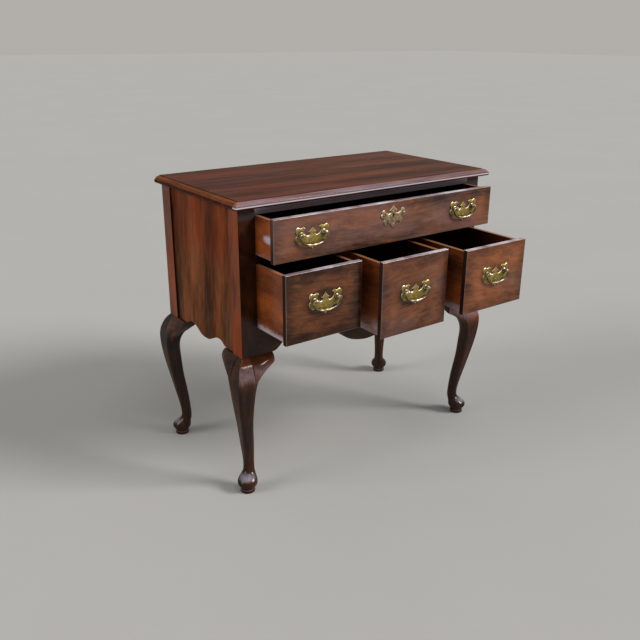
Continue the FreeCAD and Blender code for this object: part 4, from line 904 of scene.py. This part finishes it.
class LowboyBrassSettings(PropertyGroup):
    plate_bevel: length_property("Bevel", "Width of the bevel round each plate", 1.6 * MM)
    plate_bright: colour_property("Plate", "The rubbed face of the plates", (0.46, 0.35, 0.105))
    plate_dull: colour_property(
        "Plate Tarnish", "The tarnished face of the plates", (0.24, 0.175, 0.048)
    )
    escutcheon_bright: colour_property(
        "Escutcheon", "The rubbed face of the escutcheon", (0.5, 0.36, 0.225)
    )
    escutcheon_dull: colour_property(
        "Escutcheon Tarnish", "The tarnished face of the escutcheon", (0.2, 0.125, 0.07)
    )
    rim_bright: colour_property("Rim", "The rubbed bevels round the plates", (0.95, 0.85, 0.72))
    rim_dull: colour_property(
        "Rim Tarnish", "The tarnished bevels round the plates", (0.46, 0.35, 0.105)
    )
    bail_bright: colour_property("Bail", "Rubbed bails and posts", (0.8, 0.68, 0.5))
    bail_dull: colour_property("Bail Tarnish", "Tarnished bails and posts", (0.22, 0.155, 0.07))
    tarnish: share_property("Pits", "How dark the pits are", 0.8)


class LowboyStageSettings(PropertyGroup):
    lens: number_property(
        "Lens", "Focal length of the camera", 42.279, unit="CAMERA", min=10.0, max=200.0
    )
    azimuth: angle_property("Around", "Camera's turn round the lowboy, 0 in front", -36.169)
    elevation: angle_property("Up", "Camera's height as an angle above level", 20.869)
    roll: angle_property("Roll", "Camera's lean to the side", 0.334)
    camera_place: bpy.props.FloatVectorProperty(
        name="Camera", description="Where the camera stands",
        default=(-1.2175, -1.5418, 1.1112), subtype="TRANSLATION", unit="LENGTH",
    )
    floor_colour: colour_property("Floor", "Colour of the floor", (0.455, 0.44, 0.41))
    backdrop_colour: colour_property("Backdrop", "Seen past the floor", (0.44, 0.425, 0.4))
    air_colour: colour_property("Surroundings", "Light from all round", (0.26, 0.265, 0.275))
    key_strength: number_property("Key Light", "Light from the front right", 2.6, min=0.0)
    side_strength: number_property("Side Light", "Light from the left", 1.3, min=0.0)
    high_strength: number_property("High Light", "Light from overhead", 0.5, min=0.0)


# ---------- operators
def dress(material, *nodes):
    """Puts a finish on nodes that keep their own shape."""
    for node in nodes:
        for slot in NODES[node].material_slots:
            slot.material = material


class LowboyTop(Operator):
    """Finishes the moulded top"""

    bl_idname = "object.lowboy_top"
    bl_label = "Top"

    def execute(self, context):
        board = Board("x", (-0.35, 0.55), (0.05, 0.02))
        look = Look(tone=-0.15, warm=0.64, clouds=0.6, narrow=1.8, drawn=2.5, mottle=0.6,
                    streaks=1.2, varnish=0.12, bloom_sheen=0.08, cover=mould_sheen)
        dress(wood("top_wood", board, look, "end"), "top_board")
        return {"FINISHED"}


class LowboySides(Operator):
    """Finishes the two side panels"""

    bl_idname = "object.lowboy_sides"
    bl_label = "Side Panels"

    def execute(self, context):
        look = Look(tone=0.02, warm=0.58, clouds=1.1, narrow=1.5, drawn=1.6, mottle=0.8,
                    streaks=0.45, varnish=0.08, shift=paler_above, cover=glazed_above)
        for side, start in (("left", 0.0), ("right", 1.7)):
            board = Board("z", (-0.62, -0.1), (0.02, 0.06), start)
            dress(wood(f"{side}_panel_wood", board, look, "end"), f"{side}_side_panel")
        return {"FINISHED"}


def leg_look(tone, varnish, knee_light):
    """The look of a leg, or of the blocks beside its knee."""
    return Look(tone, warm=0.6, clouds=0.6, mottle=0.5, streaks=0.6, varnish=varnish,
                shift=painted_leg_light(knee_light), cover=leg_sheen)


class LowboyLegs(Operator):
    """Finishes the four posts with their cabriole legs"""

    bl_idname = "object.lowboy_legs"
    bl_label = "Legs"

    def execute(self, context):
        # The rear legs are toned a little darker than the front ones, as painted shade.
        tones = {"front_left": -0.41, "front_right": -0.39,
                 "rear_left": -0.45, "rear_right": -0.45}
        for number, (leg, tone) in enumerate(tones.items()):
            # Only the front knees get painted light on their fronts.
            knee_light = 0.36 if leg.startswith("front") else 0.0
            board = Board("z", (0.9, 0.3), start=number * 1.3)
            material = wood(f"{leg}_leg_wood", board, leg_look(tone, 0.5, knee_light), "end")
            dress(material, f"{leg}_leg")
        return {"FINISHED"}


class LowboyKneeBlocks(Operator):
    """Finishes the blocks that carry the knees into the case"""

    bl_idname = "object.lowboy_knee_blocks"
    bl_label = "Knee Blocks"

    def execute(self, context):
        # The front knee blocks get painted light on their fronts too.
        for place, start, knee_light in (("front", 0.0, 0.2), ("side", 0.8, 0.0)):
            board = Board("z", (0.7, 0.5), (0.1, 0.1), start)
            node = f"{place}_knee_blocks"
            dress(wood(f"{node}_wood", board, leg_look(-0.38, 0.6, knee_light), "end"), node)
        return {"FINISHED"}


class LowboyFrontFrame(Operator):
    """Finishes the apron, the rails and the dividers round the drawers"""

    bl_idname = "object.lowboy_front_frame"
    bl_label = "Front Frame"

    def execute(self, context):
        heart = (0.4, 0.9)
        look = Look(tone=-0.24, warm=0.55, varnish=0.4, streaks=0.7)
        # The top rail: cloudy patches of dulled finish and painted sheen.
        rail_look = Look(tone=0.1, warm=0.5, varnish=0.3, streaks=0.5, bloom_sheen=1.0, cover=rail_sheen)
        dress(wood("top_rail_wood", Board("x", heart), rail_look, "case"), "top_rail")
        dress(wood("rail_wood", Board("x", heart), look, "case"), "front_apron", "mid_rail")
        dividers = wood("divider_wood", Board("z", heart), look, "case")
        dress(dividers, "left_divider", "right_divider")
        return {"FINISHED"}


class LowboyDrawerFronts(Operator):
    """Finishes the lipped fronts of the drawers"""

    bl_idname = "object.lowboy_drawer_fronts"
    bl_label = "Drawer Fronts"

    def execute(self, context):
        small = {"clouds": 0.7, "mottle": 1.1}
        # Each drawer's board, how much lighter it is painted to the right, as light from the
        # right, and its figure. The drawers' tones, lower to the left, partly paint the same
        # light.
        fronts = {
            "top": (Board("x", (0.15, 0.42), (0.02, 0.05), start=0.3), 0.1,
                    {"tone": 0.28, "warm": 0.54, "mottle": 1.5, "bloom_sheen": 0.32}),
            "left": (Board("x", (0.12, 0.4), (0.03, 0.1), start=2.6), 0.06,
                     {"tone": -0.01, "warm": 0.58, "drawn": 0.7, "streaks": 0.65, **small}),
            "middle": (Board("x", (0.12, 0.38), (0.02, -0.12), start=3.9), 0.0,
                       {"tone": 0.14, "warm": 0.52, "drawn": 0.6, "streaks": 0.55,
                        "bloom_sheen": 0.12, **small}),
            "right": (Board("x", (0.1, 0.43), (0.02, 0.14), start=5.2), 0.0,
                      {"tone": 0.28, "warm": 0.64, "drawn": 0.7, "streaks": 0.7, **small}),
        }
        for drawer, (board, lean, figure) in fronts.items():
            node = f"{drawer}_drawer_front"
            plates = [f"{pull}_plate" for pull, place in PULLS.items()
                      if place == f"{drawer}_drawer"]
            look = Look(varnish=0.6, end_dark=0.92, cover=front_highlights,
                        shift=toned_and_lit_front(node, plates, depth=0.26, lean=lean), **figure)
            dress(wood(f"{drawer}_front_wood", board, look, "case"), node)
        return {"FINISHED"}


class LowboyDrawerBoxes(Operator):
    """Finishes the sides, backs and bottoms of the drawers"""

    bl_idname = "object.lowboy_drawer_boxes"
    bl_label = "Drawer Boxes"

    def execute(self, context):
        heart = (0.3, 0.2)
        # The backs and bottoms are toned dark: painted shade of the drawer's inside.
        shaded_inside = Look(tone=-0.38, mottle=0.5, streaks=0.5, varnish=0.1)
        for number, drawer in enumerate(DRAWERS):
            along = Board("y", heart, start=number * 1.1)
            # How high the painted glare runs on the sides, and the strength of its patch behind
            # the top drawer's lip.
            run, patch = (2 * MM, 1.3) if drawer == "top" else (20 * MM, 0.0)
            for side, inward in (("left", 1.0), ("right", -1.0)):
                node = f"{drawer}_drawer_{side}_side"
                outer = Look(tone=-0.02, mottle=0.6, streaks=0.5, varnish=0.5,
                             cover=side_shade_and_glare(node, inward, run, patch))
                dress(wood(f"{node}_wood", along, outer, "box"), node)
            across = Board("x", heart, start=number * 0.9)
            plain = wood(f"{drawer}_inner_wood", across, shaded_inside, "box")
            dress(plain, f"{drawer}_drawer_back", f"{drawer}_drawer_bottom")
        return {"FINISHED"}


class LowboyBack(Operator):
    """Finishes the back rail and the back panel"""

    bl_idname = "object.lowboy_back"
    bl_label = "Back"

    def execute(self, context):
        look = Look(tone=-0.05, mottle=0.5, varnish=0.08)
        stock = wood("back_wood", Board("x", (0.3, 0.2)), look, "plain")
        dress(stock, "back_rail", "back_panel")
        return {"FINISHED"}


class LowboyRunners(Operator):
    """Finishes the runners, bearers, kickers and the screws of the top"""

    bl_idname = "object.lowboy_runners"
    bl_label = "Runners and Screws"

    def execute(self, context):
        look = Look(tone=-0.08, mottle=0.5, varnish=0.04)
        stock = wood("runner_wood", Board("y", (0.3, 0.2)), look, "plain")
        dress(stock, "upper_runners", "lower_runners", "divider_bearers", "drawer_kickers")
        dress(metal("screw_steel", SCREW_STEEL, shine=0.4, tarnish=0.6), "top_screws")
        return {"FINISHED"}


class LowboyPlates(Operator):
    """Makes the bevelled plates of the pulls and the escutcheon"""

    bl_idname = "object.lowboy_plates"
    bl_label = "Plates"

    def execute(self, context):
        settings = context.scene.lowboy_brass
        tarnish = settings.tarnish
        rim = metal("rim_brass", brass_colours("rim"), 0.6, 0.6 * tarnish, shaded_bevels)
        # The plates' edges in dark brass: painted shade that outlines each plate.
        edge = metal("edge_brass", SHADED_PLATE_EDGE, 0.1, tarnish)
        field = metal("plate_brass", brass_colours("plate"), 0.45, tarnish, round_the_posts)
        holes = [circle_points(way * POST_SPREAD / 2, POST_RISE, POST_HOLE) for way in (-1, 1)]
        for pull, drawer in PULLS.items():
            self.make(f"{pull}_plate", PLATE_OUTLINE, holes, (field, rim, edge), drawer)
        field = metal("escutcheon_brass", brass_colours("escutcheon"), 0.4, tarnish, pitted)
        holes = [keyhole_points(**KEYHOLE)]
        self.make("escutcheon", ESCUTCHEON_OUTLINE, holes, (field, rim, edge), "top_drawer")
        return {"FINISHED"}

    def make(self, node, chain, holes, materials, drawer):
        """Puts a bevelled plate in the place of a flat one, on its drawer."""
        low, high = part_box(node)
        name = f"{node}_bevelled"
        outline = [(x * MM, z * MM) for x, z in outline_points(chain)]
        bevel = bpy.context.scene.lowboy_brass.plate_bevel
        mesh = plate_mesh(name, outline, holes, high.y - low.y, bevel)
        for material in materials:
            mesh.materials.append(material)
        piece = stood_up(name, mesh)
        top = max(z for _, z in outline)
        piece.location = ((low.x + high.x) / 2, high.y, high.z - top)
        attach(piece, drawer)
        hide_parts(node)


class LowboyPulls(Operator):
    """Finishes the bails, their posts and the escutcheon's pins"""

    bl_idname = "object.lowboy_pulls"
    bl_label = "Bails and Posts"

    def execute(self, context):
        finish = {"colours": brass_colours("bail"), "shine": 0.6,
                  "tarnish": 0.9 * context.scene.lowboy_brass.tarnish}
        posts = metal("bail_brass", **finish)
        dress(posts, "escutcheon_pins", *(f"{drawer}_drawer_pull_bolts" for drawer in DRAWERS))
        for pull in PULLS:
            bail = metal(f"{pull}_bail_brass", dark_places=arms_of(f"{pull}_plate"), **finish)
            dress(bail, f"{pull}_bail")
        return {"FINISHED"}


class LowboyLock(Operator):
    """Finishes the lock in the wide drawer"""

    bl_idname = "object.lowboy_lock"
    bl_label = "Lock"

    def execute(self, context):
        tarnish = context.scene.lowboy_brass.tarnish
        dress(metal("lock_brass", brass_colours("plate"), 0.4, tarnish), "lock_case")
        dress(metal("bolt_steel", BOLT_STEEL, shine=0.5, tarnish=0.6), "lock_bolt")
        return {"FINISHED"}


class LowboyStage(Operator):
    """Lays the floor and sets the lights and the camera"""

    bl_idname = "object.lowboy_stage"
    bl_label = "Stage"

    def execute(self, context):
        settings = context.scene.lowboy_stage
        self.lay_floor(tuple(settings.floor_colour))
        for name, light in LIGHTS.items():
            sun(f"{name}_light", getattr(settings, f"{name}_strength"), *light)
        self.fill_air(tuple(settings.air_colour), tuple(settings.backdrop_colour))
        context.scene.view_settings.view_transform = "Standard"
        place_camera(settings)
        return {"FINISHED"}

    def lay_floor(self, pale):
        """A wide floor, a hair under the feet."""
        mesh = bpy.data.meshes.new("floor")
        corners = [(-1, -1), (1, -1), (1, 1), (-1, 1)]
        mesh.from_pydata([(x * FLOOR_REACH, y * FLOOR_REACH, 0) for x, y in corners], [],
                         [(0, 1, 2, 3)])
        floor = stood_up("floor", mesh)
        floor.location.z = -FLOOR_DROP
        finish = Finish(bpy.data.materials.new("floor_finish"))
        patch = finish.noise(finish.place, detail=5.0, roughness=0.6)
        darker = tuple(0.97 * part for part in pale)
        mesh.materials.append(finish.close({
            "Base Color": finish.mix(finish.span(patch, 0.35, 0.65), pale, darker),
            "Roughness": 0.85,
            "Specular IOR Level": 0.2,
        }))

    def fill_air(self, light, backdrop):
        """Light from all round, and the backdrop where the surroundings are seen."""
        world = bpy.data.worlds.new("surroundings")
        air = Finish(world)
        seen = [
            air.add("ShaderNodeLightPath", output=f"Is {kind} Ray")
            for kind in ("Camera", "Glossy", "Transmission")
        ]
        colour = air.mix(seen[0] + seen[1] + seen[2], light, backdrop)
        background = air.add("ShaderNodeBackground", {}, {"Color": colour})
        air.add("ShaderNodeOutputWorld", {}, {"Surface": background})
        bpy.context.scene.world = world


class LowboyPanel(Panel):
    """Lists the lowboy's groups of pieces, its sizes and colours, and its stage"""

    bl_idname = "VIEW3D_PT_lowboy"
    bl_label = "Lowboy"
    bl_space_type = "VIEW_3D"
    bl_region_type = "UI"
    bl_category = "Lowboy"

    def draw(self, context):
        layout = self.layout
        for operator in OPERATORS:
            layout.operator(operator.bl_idname)
        for name, kind in SETTINGS.items():
            box = layout.box()
            settings = getattr(context.scene, name)
            for setting in kind.__annotations__:
                box.prop(settings, setting)


OPERATORS = (
    LowboyTop, LowboySides, LowboyLegs, LowboyKneeBlocks, LowboyFrontFrame,
    LowboyDrawerFronts, LowboyDrawerBoxes, LowboyBack, LowboyRunners, LowboyPlates,
    LowboyPulls, LowboyLock, LowboyStage,
)
SETTINGS = {
    "lowboy_wood": LowboyWoodSettings,
    "lowboy_brass": LowboyBrassSettings,
    "lowboy_stage": LowboyStageSettings,
}
CLASSES = (*SETTINGS.values(), *OPERATORS, LowboyPanel)


def register():
    for kind in CLASSES:
        bpy.utils.register_class(kind)
    for name, kind in SETTINGS.items():
        setattr(bpy.types.Scene, name, bpy.props.PointerProperty(type=kind))


def unregister():
    for name in SETTINGS:
        delattr(bpy.types.Scene, name)
    for kind in reversed(CLASSES):
        bpy.utils.unregister_class(kind)


def main():
    register()
    for operator in OPERATORS:
        getattr(bpy.ops.object, operator.bl_idname.split(".")[1])()


if __name__ == "__main__":
    main()
